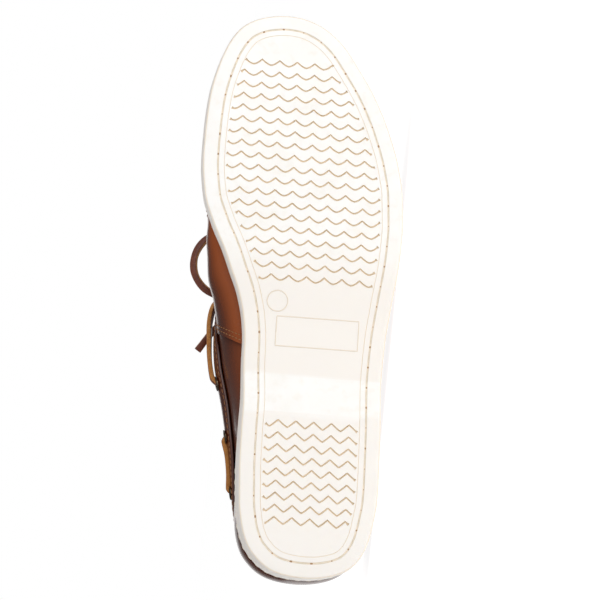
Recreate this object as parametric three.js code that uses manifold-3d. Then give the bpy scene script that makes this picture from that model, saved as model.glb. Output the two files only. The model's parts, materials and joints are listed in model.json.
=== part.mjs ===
// Boat shoe, left foot, lying on its lateral side. Millimetres.
// Everything is built in the shoe's own standing frame: x to the medial side, y from heel to toe,
// z up from the ground. The last lines turn it over until it rests on sole edge and collar.
import * as THREE from 'three';
import { mergeVertices } from 'three/addons/utils/BufferGeometryUtils.js';
import { ConvexHull } from 'three/addons/math/ConvexHull.js';
import Module from 'manifold-3d';

const wasm = await Module();
wasm.setup();

// Driving sizes
const soleLength = 292;
const wall = 2;             // upper leather
const gap = 0.3;            // air between touching pieces
const featherInset = 2.6;   // outer face of the upper, inside the edge of the sole
const insoleThickness = 3;
const insoleClearance = 0.8;
const insoleLift = 0.5;      // the bed of the sole is slightly domed
const tongueThickness = 2.4;
const tongueGap = 1.4;       // both follow the last in flat facets
const bandHeight = 19;      // collar band, below the top line
const bandThickness = 1.5;
const bandGap = 0.8;
const laceRadius = 1.6;
const eyelet = { bore: 2.1, barrel: 2.6, flange: 4, lip: 0.9, depth: 2.2 };
const stationCount = 40;
const rowCount = 10;
const crownHeel = 38;       // the ridge of the last runs between these two stations
const crownToe = 258;

// Outline of the sole: how far it reaches to each side of the long axis
const outline = [
  { at: 0, medial: 0.5, lateral: -0.5 },
  { at: 3.8, medial: 20.6, lateral: 17.2 },
  { at: 9.8, medial: 28.4, lateral: 24 },
  { at: 18, medial: 33.9, lateral: 28.5 },
  { at: 28, medial: 36.6, lateral: 31.3 },
  { at: 40, medial: 37.7, lateral: 33.5 },
  { at: 55, medial: 37.6, lateral: 34.4 },
  { at: 76, medial: 36.6, lateral: 35.2 },
  { at: 95, medial: 35.3, lateral: 35.8 },
  { at: 110, medial: 35.2, lateral: 37 },
  { at: 123, medial: 34.7, lateral: 38.5 },
  { at: 133, medial: 35.3, lateral: 40.2 },
  { at: 146, medial: 37.8, lateral: 42.5 },
  { at: 157, medial: 41.6, lateral: 44.6 },
  { at: 168, medial: 45.4, lateral: 46.1 },
  { at: 181, medial: 50.9, lateral: 47.2 },
  { at: 196, medial: 55.4, lateral: 47.1 },
  { at: 211, medial: 56.5, lateral: 45.2 },
  { at: 229, medial: 55.3, lateral: 40.6 },
  { at: 248, medial: 52.7, lateral: 33.4 },
  { at: 264, medial: 48, lateral: 25 },
  { at: 277, medial: 42, lateral: 16.8 },
  { at: 285.5, medial: 35, lateral: 7.9 },
  { at: 290.3, medial: 25.5, lateral: -1.8 },
  { at: soleLength, medial: 13.1, lateral: -13.1 },
];

// Side view of the sole: ground face and top face
const soleHeights = [
  { at: 0, ground: 0.8, top: 21.5 },
  { at: 14, ground: 0, top: 21.2 },
  { at: 50, ground: 0, top: 20.6 },
  { at: 83.5, ground: 0, top: 18.6 },
  { at: 102.5, ground: 3.3, top: 16.9 },
  { at: 130, ground: 2.9, top: 14.4 },
  { at: 150, ground: 1.1, top: 12.9 },
  { at: 166, ground: 0, top: 12 },
  { at: 190, ground: 0, top: 11.4 },
  { at: 214, ground: 0, top: 11.4 },
  { at: 240, ground: 1.3, top: 12.5 },
  { at: 266, ground: 4.6, top: 15.2 },
  { at: soleLength, ground: 9.6, top: 19.8 },
];

// The last: crown height of its ridge, squareness of the section, how far the sides swell out at
// mid height, and the low belly just above the sole
const last = [
  { at: 0, crown: 116, squareness: 4.6, medialSwell: -5, lateralSwell: -5, belly: 6 },
  { at: 30, crown: 117, squareness: 4.6, medialSwell: -4, lateralSwell: -5, belly: 4.2 },
  { at: 60, crown: 117, squareness: 4.6, medialSwell: -1.2, lateralSwell: -3.5, belly: 1.6 },
  { at: 93, crown: 116, squareness: 4.2, medialSwell: 5.9, lateralSwell: -1, belly: 0.4 },
  { at: 119, crown: 108, squareness: 3.2, medialSwell: 11.4, lateralSwell: 1.5, belly: 0 },
  { at: 135, crown: 97, squareness: 2.5, medialSwell: 13.6, lateralSwell: 4.5, belly: 0 },
  { at: 150, crown: 88, squareness: 2.3, medialSwell: 14, lateralSwell: 7, belly: 0.5 },
  { at: 171, crown: 78, squareness: 2.3, medialSwell: 8.4, lateralSwell: 3.5, belly: 1 },
  { at: 190, crown: 69, squareness: 2.4, medialSwell: 1.5, lateralSwell: 1.5, belly: 1 },
  { at: 215, crown: 59, squareness: 2.5, medialSwell: 0.5, lateralSwell: 1, belly: 1 },
  { at: 240, crown: 50.5, squareness: 2.5, medialSwell: 0.5, lateralSwell: 0.5, belly: 1 },
  { at: 258, crown: 44.5, squareness: 2.4, medialSwell: 0, lateralSwell: 0, belly: 1 },
  { at: soleLength, crown: 30, squareness: 2.4, medialSwell: 0, lateralSwell: 0, belly: 1 },
];

// Top line of the collar in side view, and the throat between the facings in plan
const topLine = [
  { at: -12, height: 84 },
  { at: 4, height: 82.5 },
  { at: 25, height: 77 },
  { at: 50, height: 69.5 },
  { at: 84, height: 66 },
  { at: 116, height: 67 },
  { at: 138, height: 72.5 },
  { at: 154, height: 80 },
  { at: 164, height: 92 },
  { at: 178, height: 130 },
];
const throat = { start: 148, straightTo: 176, end: 190, halfWidth: 15 };

// A smooth value along a table: cubic pieces whose slopes never overshoot the rows
function along(rows, key, at, place = (value) => value) {
  const x = rows.map((row) => place(row.at));
  const y = rows.map((row) => row[key]);
  const end = rows.length - 1;
  const here = Math.min(Math.max(place(at), x[0]), x[end]);
  let i = 0;
  while (i < end - 1 && here > x[i + 1]) i += 1;
  const slope = (k) => (y[k + 1] - y[k]) / (x[k + 1] - x[k]);
  const tangent = (k) => {
    if (k === 0) return slope(0);
    if (k === end) return slope(end - 1);
    const [before, after] = [slope(k - 1), slope(k)];
    return before * after <= 0 ? 0 : (2 * before * after) / (before + after);
  };
  const width = x[i + 1] - x[i];
  const t = (here - x[i]) / width;
  const rise = 3 * t * t - 2 * t * t * t;
  const lead = t * (1 - t) * (1 - t) * width * tangent(i);
  const trail = t * t * (t - 1) * width * tangent(i + 1);
  return y[i] + (y[i + 1] - y[i]) * rise + lead + trail;
}

// Stations crowd towards heel and toe, where the outline turns
const turn = (at) => Math.acos(Math.min(Math.max(1 - (2 * at) / soleLength, -1), 1));
const stations = [
  ...Array.from(
    { length: stationCount + 1 },
    (_, i) => (soleLength / 2) * (1 - Math.cos((Math.PI * i) / stationCount)),
  ),
  throat.straightTo + 6,
  throat.end - 2,
  throat.end - 0.4,
].sort((a, b) => a - b);

const sideKey = (side) => (side > 0 ? 'medial' : 'lateral');

function edgePoint(at, side) {
  return new THREE.Vector2(side * along(outline, sideKey(side), at, turn), at);
}

// A point of the outline moved inwards by a distance
function insetPoint(at, side, inset) {
  const step = 0.02;
  const near = (angle) => {
    const past = angle < 0 || angle > Math.PI;
    return edgePoint((soleLength / 2) * (1 - Math.cos(angle)), past ? -side : side);
  };
  const tangent = near(turn(at) + step).sub(near(turn(at) - step)).normalize();
  const inwards = new THREE.Vector2(-tangent.y, tangent.x).multiplyScalar(side);
  return edgePoint(at, side).addScaledVector(inwards, inset);
}

// The ridge of the last, in plan
function ridgePoint(at) {
  const y = Math.min(Math.max(at, crownHeel), crownToe);
  const [medial, lateral] = ['medial', 'lateral'].map((key) => along(outline, key, y, turn));
  return new THREE.Vector2((medial - lateral) / 2, y);
}

const soleTop = (at) => along(soleHeights, 'top', at);
const soleGround = (at) => along(soleHeights, 'ground', at);

// A point of the last grown by a distance. climb runs from 0 at the sole to 1 on the ridge.
function lastPoint(at, side, climb, grow) {
  const value = (key) => along(last, key, at);
  const base = insetPoint(at, side, featherInset + wall - grow);
  const ridge = ridgePoint(at);
  const power = 2 / value('squareness');
  const angle = (Math.PI / 2) * Math.min(climb, 1) ** (1 / power);
  const risen = Math.sin(angle) ** power;
  const lean = 1 - Math.max(Math.cos(angle), 0) ** power;
  const swell = (value('medialSwell') + value('lateralSwell')) / 2
    + (side * (value('medialSwell') - value('lateralSwell'))) / 2;
  const out = swell * Math.sin(Math.PI * risen ** 0.8)
    + value('belly') * Math.sin(Math.PI * Math.min(risen / 0.42, 1));
  const inwards = ridge.clone().sub(base);
  const reach = inwards.length();
  const plan = base.addScaledVector(inwards, lean - (out * (1 - lean)) / reach);
  const floor = soleTop(at) + gap;
  const crown = along(last, 'crown', ridge.y) + grow;
  return new THREE.Vector3(plan.x, plan.y, floor + (crown - floor) * risen);
}

// The collar and throat: everything above the top line or between the facings is open
function isOpen(point, lower = 0) {
  if (point.z > along(topLine, 'height', point.y) - lower) return true;
  if (point.y < throat.start || point.y > throat.end) return false;
  const past = Math.max(point.y - throat.straightTo, 0) / (throat.end - throat.straightTo);
  const half = throat.halfWidth * Math.sqrt(1 - past * past);
  return Math.abs(point.x - ridgePoint(point.y).x) < half;
}

// How far a line up the last climbs before a test holds
function climbUntil(at, side, grow, test) {
  let low = 0;
  for (let climb = 0.04; climb <= 1.0001; climb += 0.04) {
    if (test(lastPoint(at, side, climb, grow))) break;
    low = climb;
  }
  if (low > 0.99) return 1;
  let high = low + 0.04;
  for (let i = 0; i < 16; i += 1) {
    const middle = (low + high) / 2;
    if (test(lastPoint(at, side, middle, grow))) high = middle;
    else low = middle;
  }
  return low;
}

// Triangles from rows of points; faces that fold to nothing are left out
class Skin {
  constructor() {
    this.positions = [];
  }

  triangle(a, b, c) {
    if (a.distanceTo(b) < 1e-3 || b.distanceTo(c) < 1e-3 || c.distanceTo(a) < 1e-3) return;
    [a, b, c].forEach((p) => this.positions.push(p.x, p.y, p.z));
  }

  quad(a, b, c, d) {
    this.triangle(a, b, c);
    this.triangle(a, c, d);
  }

  // Joins neighbouring rows of equal length, turned over where flip is set
  strip(rows, flip = false) {
    for (let i = 0; i + 1 < rows.length; i += 1) {
      for (let j = 0; j + 1 < rows[i].length; j += 1) {
        const corners = [rows[i][j], rows[i][j + 1], rows[i + 1][j + 1], rows[i + 1][j]];
        if (flip) corners.reverse();
        this.quad(...corners);
      }
    }
  }

  geometry() {
    const made = new THREE.BufferGeometry();
    made.setAttribute('position', new THREE.Float32BufferAttribute(this.positions, 3));
    return mergeVertices(made, 1e-3);
  }
}

function solidOf(geometry) {
  const bare = geometry.clone();
  bare.deleteAttribute('normal');
  bare.deleteAttribute('uv');
  const merged = mergeVertices(bare, 1e-4);
  return new wasm.Manifold(new wasm.Mesh({
    numProp: 3,
    vertProperties: merged.attributes.position.array,
    triVerts: new Uint32Array(merged.index.array),
  }));
}

function geometryOf(solid) {
  const mesh = solid.getMesh();
  const made = new THREE.BufferGeometry();
  made.setAttribute('position', new THREE.BufferAttribute(mesh.vertProperties, 3));
  made.setIndex(new THREE.BufferAttribute(mesh.triVerts, 1));
  return made;
}

// A ring round the outline, as one closed loop: up the lateral side, back down the medial one
function loopOf(pointAt) {
  const lateral = stations.map((at) => pointAt(at, -1));
  const medial = stations.map((at) => pointAt(at, 1)).reverse();
  return [...lateral, ...medial.slice(1)];
}

const lift = (plan, z) => new THREE.Vector3(plan.x, plan.y, z);

// A slab that follows the outline: rings over the ground face, round the wall and over the top
function slab(ground, top, wallRings, share) {
  const cap = (ring, height) => share.map((t) => loopOf((at, side) => {
    const plan = insetPoint(at, side, ring.inset).lerp(ridgePoint(at), t);
    return lift(plan, height(plan.y) + (t === 0 ? ring.rise : 0));
  }));
  const wallLoops = wallRings.map((ring) => loopOf((at, side) => {
    const plan = insetPoint(at, side, ring.inset);
    return lift(plan, (ring.fromTop ? top : ground)(plan.y) + ring.rise);
  }));
  const under = cap(wallRings[0], ground).reverse();
  const over = cap({ ...wallRings.at(-1) }, top);
  const skin = new Skin();
  skin.strip([...under.slice(0, -1), ...wallLoops, ...over.slice(1)], true);
  return skin.geometry();
}

function outsoleGeometry() {
  const rings = [
    { inset: 1.1, rise: 0 },
    { inset: 0, rise: 1.1 },
    { inset: 0.9, rise: -0.8, fromTop: true },
    { inset: 1.6, rise: 0, fromTop: true },
  ];
  return slab(soleGround, soleTop, rings, [0, 0.5, 1]);
}

function insoleGeometry() {
  const inset = featherInset + wall + insoleClearance;
  const rings = [
    { inset, rise: 0 },
    { inset, rise: 0, fromTop: true },
  ];
  const under = (at) => soleTop(at) + insoleLift;
  const over = (at) => under(at) + insoleThickness;
  return slab(under, over, rings, [0, 1]);
}

// A wall on the last between two growths, from one climb to another on every line as far as
// a station towards the toe
function shell({ inner, outer, from, to, until = soleLength, rows = rowCount }) {
  const places = [...stations.filter((at) => at < until - 1e-6), until];
  const lines = (grow, side) => places.map((at) => {
    const low = from ? climbUntil(at, side, grow, from) : 0;
    const high = climbUntil(at, side, grow, to);
    return Array.from({ length: rows + 1 }, (_, j) => (
      lastPoint(at, side, low + ((high - low) * j) / rows, grow)));
  });
  const onRidge = (p) => p.distanceTo(lift(ridgePoint(p.y), p.z)) < 1e-2;
  const skin = new Skin();
  [-1, 1].forEach((side) => {
    const [outside, inside] = [lines(outer, side), lines(inner, side)];
    skin.strip(outside, side > 0);
    skin.strip(inside, side < 0);
    skin.strip(outside.map((line, i) => [inside[i][0], line[0]]), side > 0);
    outside.slice(1).forEach((line, i) => {
      const rim = [outside[i][rows], inside[i][rows], inside[i + 1][rows], line[rows]];
      if (onRidge(rim[0]) && onRidge(rim[3])) return;
      skin.quad(...(side > 0 ? rim.reverse() : rim));
    });
    if (until < soleLength) skin.strip([outside.at(-1), inside.at(-1)], side > 0);
  });
  return skin.geometry();
}

const bandGrow = wall + bandGap + bandThickness;
const bandEnd = 156;
const onLeather = gap + 0.4;
const onBand = bandGap + bandThickness + onLeather;

// Places on the outer face of the upper, with the way out of the leather
function onUpper(at, side, height, off = 0) {
  const climb = climbUntil(at, side, wall, (p) => p.z > height);
  const here = lastPoint(at, side, climb, wall);
  const step = 0.01;
  const alongFoot = lastPoint(at + 1, side, climb, wall).sub(here);
  const upwards = lastPoint(at, side, climb + step, wall).sub(here);
  const out = alongFoot.cross(upwards).normalize().multiplyScalar(side);
  return { point: here.addScaledVector(out, off), out };
}

const eyelets = [
  { name: 'throat_front', at: 179, height: 68.8, base: onLeather },
  { name: 'throat_rear', at: 165, height: 74.8, base: onLeather },
  { name: 'side_front', at: 150, height: 66, base: onBand },
  { name: 'side_middle', at: 105, height: 56, base: onBand },
  { name: 'side_rear', at: 77, height: 56, base: onBand },
  { name: 'heel', at: 48, height: 59, base: onBand },
];
const sides = [{ name: 'medial', side: 1 }, { name: 'lateral', side: -1 }];

function turnedTo(out, point, geometry) {
  const q = new THREE.Quaternion().setFromUnitVectors(new THREE.Vector3(0, 1, 0), out);
  geometry.applyMatrix4(new THREE.Matrix4().compose(point, q, new THREE.Vector3(1, 1, 1)));
  return geometry;
}

function eyeletGeometry(row, side) {
  const { bore, barrel, flange, lip, depth } = eyelet;
  const profile = [
    [bore, -depth],
    [barrel, -depth],
    [barrel, 0],
    [flange, 0],
    [bore + 0.4, lip],
    [bore, -depth],
  ].map(([r, y]) => new THREE.Vector2(r, y));
  const { point, out } = onUpper(row.at, side, row.height, row.base);
  return turnedTo(out, point, new THREE.LatheGeometry(profile, 8));
}

function holes(radius, rows) {
  return rows.flatMap((row) => sides.map(({ side }) => {
    const { point, out } = onUpper(row.at, side, row.height);
    return solidOf(turnedTo(out, point, new THREE.CylinderGeometry(radius, radius, 14, 10)));
  }));
}

function pierced(geometry, rows) {
  const solid = holes(eyelet.barrel + gap, rows).reduce((s, h) => s.subtract(h), solidOf(geometry));
  return geometryOf(solid);
}

function upperGeometry() {
  return pierced(shell({ inner: 0, outer: wall, to: (p) => isOpen(p) }), eyelets);
}

function collarBandGeometry() {
  const geometry = shell({
    inner: wall + bandGap,
    outer: bandGrow,
    from: (p) => isOpen(p, bandHeight),
    to: (p) => isOpen(p),
    until: bandEnd,
    rows: 4,
  });
  return pierced(geometry, eyelets.filter((row) => row.base === onBand));
}

// The tongue follows the ridge of the last under the facings, from the vamp up past the collar
const tongue = { from: 143, to: 206, halfWidth: 27, steps: 11, across: 5 };

function tongueGeometry() {
  const line = (at, grow) => {
    const edge = (p) => Math.abs(p.x - ridgePoint(p.y).x) < tongue.halfWidth;
    const half = (side) => {
      const low = climbUntil(at, side, grow, edge);
      return Array.from({ length: tongue.across + 1 }, (_, j) => (
        lastPoint(at, side, low + ((1 - low) * j) / tongue.across, grow)));
    };
    return [...half(-1), ...half(1).reverse().slice(1)];
  };
  const places = Array.from({ length: tongue.steps + 1 }, (_, i) => (
    tongue.from + ((tongue.to - tongue.from) * i) / tongue.steps));
  const over = places.map((at) => line(at, -tongueGap));
  const under = places.map((at) => line(at, -tongueGap - tongueThickness));
  const skin = new Skin();
  skin.strip(over);
  skin.strip(under, true);
  skin.strip([over.map((l) => l[0]), under.map((l) => l[0])]);
  skin.strip([over.map((l) => l.at(-1)), under.map((l) => l.at(-1))], true);
  skin.strip([over[0], under[0]], true);
  skin.strip([over.at(-1), under.at(-1)]);
  return skin.geometry();
}

// A lace is a tube of eight sides along a smooth curve
function laceGeometry(points, steps) {
  const path = new THREE.CatmullRomCurve3(points, false, 'centripetal');
  const section = new THREE.Shape(Array.from({ length: 8 }, (_, i) => {
    const a = (Math.PI * (i + 0.5)) / 4;
    return new THREE.Vector2(Math.cos(a), Math.sin(a)).multiplyScalar(laceRadius);
  }));
  return new THREE.ExtrudeGeometry(section, { steps, extrudePath: path });
}

// Height of a lace's middle above the face that an eyelet stands on
const laceOver = eyelet.lip + gap + laceRadius + 0.5;

// A run along the side: out of one eyelet, off the leather and over the next one
function sideLaceGeometry(fromRow, toRow, side, bow) {
  const shares = [0, 0.05, 0.12, 0.3, 0.5, 0.7, 0.88, 0.95, 1];
  const points = shares.map((t) => {
    const at = fromRow.at + (toRow.at - fromRow.at) * t;
    const height = fromRow.height + (toRow.height - fromRow.height) * t;
    const end = Math.min(t, 1 - t);
    const off = end === 0 ? 1.6 : laceOver + bow * Math.sin(Math.PI * t);
    return onUpper(at, side, height, fromRow.base + (end === 0.05 ? laceOver : off)).point;
  });
  return laceGeometry(points, 12);
}

// Height of the grown last over a place in plan
function heightOver(x, y, grow) {
  const side = x > ridgePoint(y).x ? 1 : -1;
  const climb = climbUntil(y, side, grow, (p) => (p.x - x) * side < 0);
  return lastPoint(y, side, climb, grow).z;
}

// A bar over the throat, from above one eyelet to above the other
function laceBarGeometry(row) {
  const [lateral, medial] = [-1, 1].map((side) => (
    onUpper(row.at, side, row.height, row.base + laceOver).point));
  const centre = ridgePoint(row.at).x;
  const off = gap + laceRadius + 0.5;
  const facings = [-1.3, -0.95, 0.95, 1.3].map((share) => {
    const x = centre + share * throat.halfWidth;
    const overEyelet = Math.abs(share) > 1 ? onLeather + eyelet.lip : 0;
    return new THREE.Vector3(x, row.at, heightOver(x, row.at, wall) + off + overEyelet);
  });
  const middle = new THREE.Vector3(centre, row.at, heightOver(centre, row.at, -tongueGap) + off);
  const points = [lateral, ...facings.slice(0, 2), middle, ...facings.slice(2), medial];
  return laceGeometry(points, 12);
}

// The bow, knotted over the rear bar. Routes of the loops and ends are by hand.
const knot = { x: 4.5, y: 169, z: 88.2, radius: 4.2, halfLength: 4 };
const routes = {
  bow_loop_medial: [
    [9.6, 172.7, 88.8], [17, 177, 87.8], [26, 184, 84.8], [37, 187.6, 81.3], [47.4, 184.2, 77.8],
    [53.6, 175.5, 75.3], [54, 165.5, 74.8], [48.4, 157.2, 75.8], [38, 153.5, 78.8],
    [27, 156.5, 82.8], [17, 163.5, 86.3], [9.6, 168.5, 87.8],
  ],
  bow_loop_lateral: [
    [-0.6, 173.2, 88.4], [-9, 178, 87.8], [-18, 184, 85.3], [-27, 187, 80.8], [-35, 185, 75.3],
    [-39, 178.5, 70.8], [-39.5, 170, 69.8], [-36, 162.5, 72.8], [-28, 159, 78.8],
    [-18, 161, 84.3], [-9, 165.5, 87.3], [-0.6, 169, 88],
  ],
  lace_end_medial: [
    [7, 164.2, 87.1], [11, 160.4, 86.2], [17, 156, 85], [26, 149.8, 82.8], [35.5, 142.5, 79.6],
    [44.5, 134, 75.8], [52.3, 124, 71.8],
  ],
  lace_end_lateral: [
    [2, 164.2, 87.6], [-2, 161.5, 87.8], [-8, 158.5, 87.8], [-17, 153.5, 87.2], [-26, 147.5, 84.8],
    [-33, 140.5, 80.3], [-38.5, 133, 75],
  ],
};

function knotGeometry() {
  const { radius, halfLength } = knot;
  const profile = [
    [0, -halfLength],
    [radius * 0.8, -halfLength],
    [radius, -halfLength * 0.5],
    [radius * 0.9, 0],
    [radius, halfLength * 0.5],
    [radius * 0.8, halfLength],
    [0, halfLength],
  ].map(([r, y]) => new THREE.Vector2(r, y));
  const across = new THREE.Vector3(-1, 0, 0);
  return turnedTo(across, new THREE.Vector3(knot.x, knot.y, knot.z),
    new THREE.LatheGeometry(profile, 12));
}

const materials = {
  rubber: new THREE.MeshStandardMaterial({ color: 0xf0eae0, roughness: 0.55, metalness: 0 }),
  leather: new THREE.MeshStandardMaterial({ color: 0x5e2410, roughness: 0.35, metalness: 0 }),
  lining: new THREE.MeshStandardMaterial({ color: 0xb58a5c, roughness: 0.7, metalness: 0 }),
  rawhide: new THREE.MeshStandardMaterial({ color: 0xb06a2a, roughness: 0.65, metalness: 0 }),
  metal: new THREE.MeshStandardMaterial({ color: 0x8a8072, roughness: 0.3, metalness: 1 }),
};
// Grams in a cubic centimetre, for the balance of the shoe
const density = { rubber: 0.95, leather: 0.95, lining: 0.6, rawhide: 0.9, metal: 8 };

const shoe = new THREE.Group();
const weighed = [];

function add(name, geometry, material) {
  const mesh = new THREE.Mesh(geometry, materials[material].clone());
  mesh.name = name;
  shoe.add(mesh);
  weighed.push({ mesh, material });
}

add('outsole', outsoleGeometry(), 'rubber');
add('insole', insoleGeometry(), 'lining');
add('upper', upperGeometry(), 'leather');
add('tongue', tongueGeometry(), 'leather');
add('collar_band', collarBandGeometry(), 'leather');
eyelets.forEach((row) => sides.forEach(({ name, side }) => {
  add(`eyelet_${row.name}_${name}`, eyeletGeometry(row, side), 'metal');
}));
const [throatFront, throatRear, sideFront, sideMiddle, sideRear, heelEnd] = eyelets;
add('lace_bar_front', laceBarGeometry(throatFront), 'rawhide');
add('lace_bar_rear', laceBarGeometry(throatRear), 'rawhide');
// The floor presses the lateral run against the leather
const bowed = { medial: 0.6, lateral: 0 };
sides.forEach(({ name, side }) => {
  add(`side_lace_front_${name}`, sideLaceGeometry(sideFront, sideMiddle, side, bowed[name]), 'rawhide');
  add(`side_lace_rear_${name}`, sideLaceGeometry(sideRear, heelEnd, side, 0), 'rawhide');
});
add('bow_knot', knotGeometry(), 'rawhide');
Object.entries(routes).forEach(([name, route]) => {
  const points = route.map(([x, y, z]) => new THREE.Vector3(x, y, z));
  add(name, laceGeometry(points, name.startsWith('bow') ? 22 : 8), 'rawhide');
});

// Corners of every piece but the free ends of the lace
const isFree = (name) => name === 'bow_knot' || name in routes;
const corners = weighed.filter(({ mesh }) => !isFree(mesh.name)).flatMap(({ mesh }) => {
  const position = mesh.geometry.getAttribute('position');
  return Array.from({ length: position.count }, (_, i) => (
    new THREE.Vector3().fromBufferAttribute(position, i)));
});

// Centre of mass, from the signed volume under each triangle
function balance() {
  const sum = new THREE.Vector3();
  let mass = 0;
  weighed.forEach(({ mesh, material }) => {
    const flat = mesh.geometry.index ? mesh.geometry.toNonIndexed() : mesh.geometry;
    const position = flat.getAttribute('position');
    for (let i = 0; i < position.count; i += 3) {
      const [a, b, c] = [0, 1, 2].map((k) => (
        new THREE.Vector3().fromBufferAttribute(position, i + k)));
      const share = density[material] * a.dot(b.clone().cross(c));
      mass += share;
      sum.addScaledVector(a.add(b).add(c), share / 4);
    }
  });
  return sum.divideScalar(mass);
}

// It lies on that face of its hull, looking to the lateral side, where its weight is lowest
const centre = balance();
const towardsFloor = new THREE.Vector3(-1, 0, 0);
const resting = new ConvexHull().setFromPoints(corners).faces
  .filter((face) => face.normal.dot(towardsFloor) > 0.9)
  .reduce((a, b) => (a.distanceToPoint(centre) > b.distanceToPoint(centre) ? a : b));
const up = resting.normal.clone().negate();
const ahead = new THREE.Vector3(0, 1, 0).projectOnPlane(up).normalize();
const across = up.clone().cross(ahead);
shoe.applyMatrix4(new THREE.Matrix4().makeBasis(ahead, across, up).transpose());

// The origin is under the middle of the box that the shoe fills, lace ends left out
shoe.updateMatrixWorld(true);
const box = new THREE.Box3().setFromPoints(corners.map((p) => shoe.localToWorld(p.clone())));
shoe.position.set(-(box.min.x + box.max.x) / 2, -(box.min.y + box.max.y) / 2, -box.min.z);

const part = new THREE.Group();
part.add(shoe);

export default part;
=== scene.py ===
import bisect
import functools
import json
import math
import random

import bmesh
import bpy
from mathutils import Matrix, Vector


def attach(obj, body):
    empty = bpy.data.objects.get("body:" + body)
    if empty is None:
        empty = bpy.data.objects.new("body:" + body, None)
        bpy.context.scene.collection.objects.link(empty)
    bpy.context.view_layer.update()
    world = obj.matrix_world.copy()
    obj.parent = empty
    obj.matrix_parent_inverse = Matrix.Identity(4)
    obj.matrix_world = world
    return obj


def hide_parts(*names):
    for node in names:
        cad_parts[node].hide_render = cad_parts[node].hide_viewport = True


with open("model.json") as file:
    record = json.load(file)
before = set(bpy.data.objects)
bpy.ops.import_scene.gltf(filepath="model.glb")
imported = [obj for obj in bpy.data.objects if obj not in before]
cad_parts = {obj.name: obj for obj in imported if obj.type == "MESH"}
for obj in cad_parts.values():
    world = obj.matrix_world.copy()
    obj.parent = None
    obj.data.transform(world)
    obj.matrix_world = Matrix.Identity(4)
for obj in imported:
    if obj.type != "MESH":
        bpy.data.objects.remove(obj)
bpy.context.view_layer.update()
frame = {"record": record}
random.seed(7)

# The shoe's own frame, in millimetres: x to the medial side, y from heel to toe, z up from the
# ground. The two flat spots under heel and forefoot say where it lies.
mounts = {mount["name"]: mount for mount in frame["record"]["mounts"]}
heelSpot = Vector(mounts["heel_tread"]["pos_m"])
heelSpotAt = 50
shoeUp = -Vector(mounts["heel_tread"]["axis"]).normalized()
shoeAhead = (Vector(mounts["forefoot_tread"]["pos_m"]) - heelSpot).normalized()
shoeMedial = shoeAhead.cross(shoeUp).normalized()
shoeOrigin = heelSpot - shoeAhead * (heelSpotAt / 1000)
axes = Matrix((shoeMedial, shoeAhead, shoeUp)).transposed()
shoeToWorld = Matrix.Translation(shoeOrigin) @ axes.to_4x4() @ Matrix.Scale(0.001, 4)
worldToShoe = axes.transposed().to_euler()


view = {
    "distance": 1700,       # mm from the middle of the sole
    "frame": 307,           # mm of the sole that the picture takes in
    "middle": (5.8, 142.7, 5),  # shoe's own frame
    "toMedial": 6.7,        # degrees off square to the sole
    "toHeel": 7.5,
    "sensor": 36,
}


def addCamera():
    offMedial = math.tan(math.radians(view["toMedial"]))
    offHeel = math.tan(math.radians(view["toHeel"]))
    towards = axes @ Vector((offMedial, -offHeel, -1)).normalized()
    top = (shoeAhead - towards * shoeAhead.dot(towards)).normalized()
    data = bpy.data.cameras.new("camera")
    data.sensor_width = view["sensor"]
    data.lens = view["sensor"] * view["distance"] / view["frame"]
    camera = bpy.data.objects.new("camera", data)
    bpy.context.scene.collection.objects.link(camera)
    turned = Matrix((top.cross(towards), top, towards)).transposed().to_4x4()
    middle = shoeToWorld @ Vector(view["middle"])
    camera.matrix_world = Matrix.Translation(middle + towards * view["distance"] / 1000) @ turned
    bpy.context.scene.camera = camera


addCamera()


# the last and the sole, as the solids have them
sole = {
    "length": 292,
    "feather": 2.6,        # outer face of the upper, inside the edge of the sole
    "outline": {
        "at": [0, 3.8, 9.8, 18, 28, 40, 55, 76, 95, 110, 123, 133, 146,
               157, 168, 181, 196, 211, 229, 248, 264, 277, 285.5, 290.3, 292],
        "medial": [0.5, 20.6, 28.4, 33.9, 36.6, 37.7, 37.6, 36.6, 35.3, 35.2, 34.7, 35.3, 37.8,
                   41.6, 45.4, 50.9, 55.4, 56.5, 55.3, 52.7, 48, 42, 35, 25.5, 13.1],
        "lateral": [-0.5, 17.2, 24, 28.5, 31.3, 33.5, 34.4, 35.2, 35.8, 37, 38.5, 40.2, 42.5,
                    44.6, 46.1, 47.2, 47.1, 45.2, 40.6, 33.4, 25, 16.8, 7.9, -1.8, -13.1],
    },
    "heights": {
        "at": [0, 14, 50, 83.5, 102.5, 130, 150, 166, 190, 214, 240, 266, 292],
        "ground": [0.8, 0, 0, 0, 3.3, 2.9, 1.1, 0, 0, 0, 1.3, 4.6, 9.6],
        "top": [21.5, 21.2, 20.6, 18.6, 16.9, 14.4, 12.9, 12, 11.4, 11.4, 12.5, 15.2, 19.8],
    },
}
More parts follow.
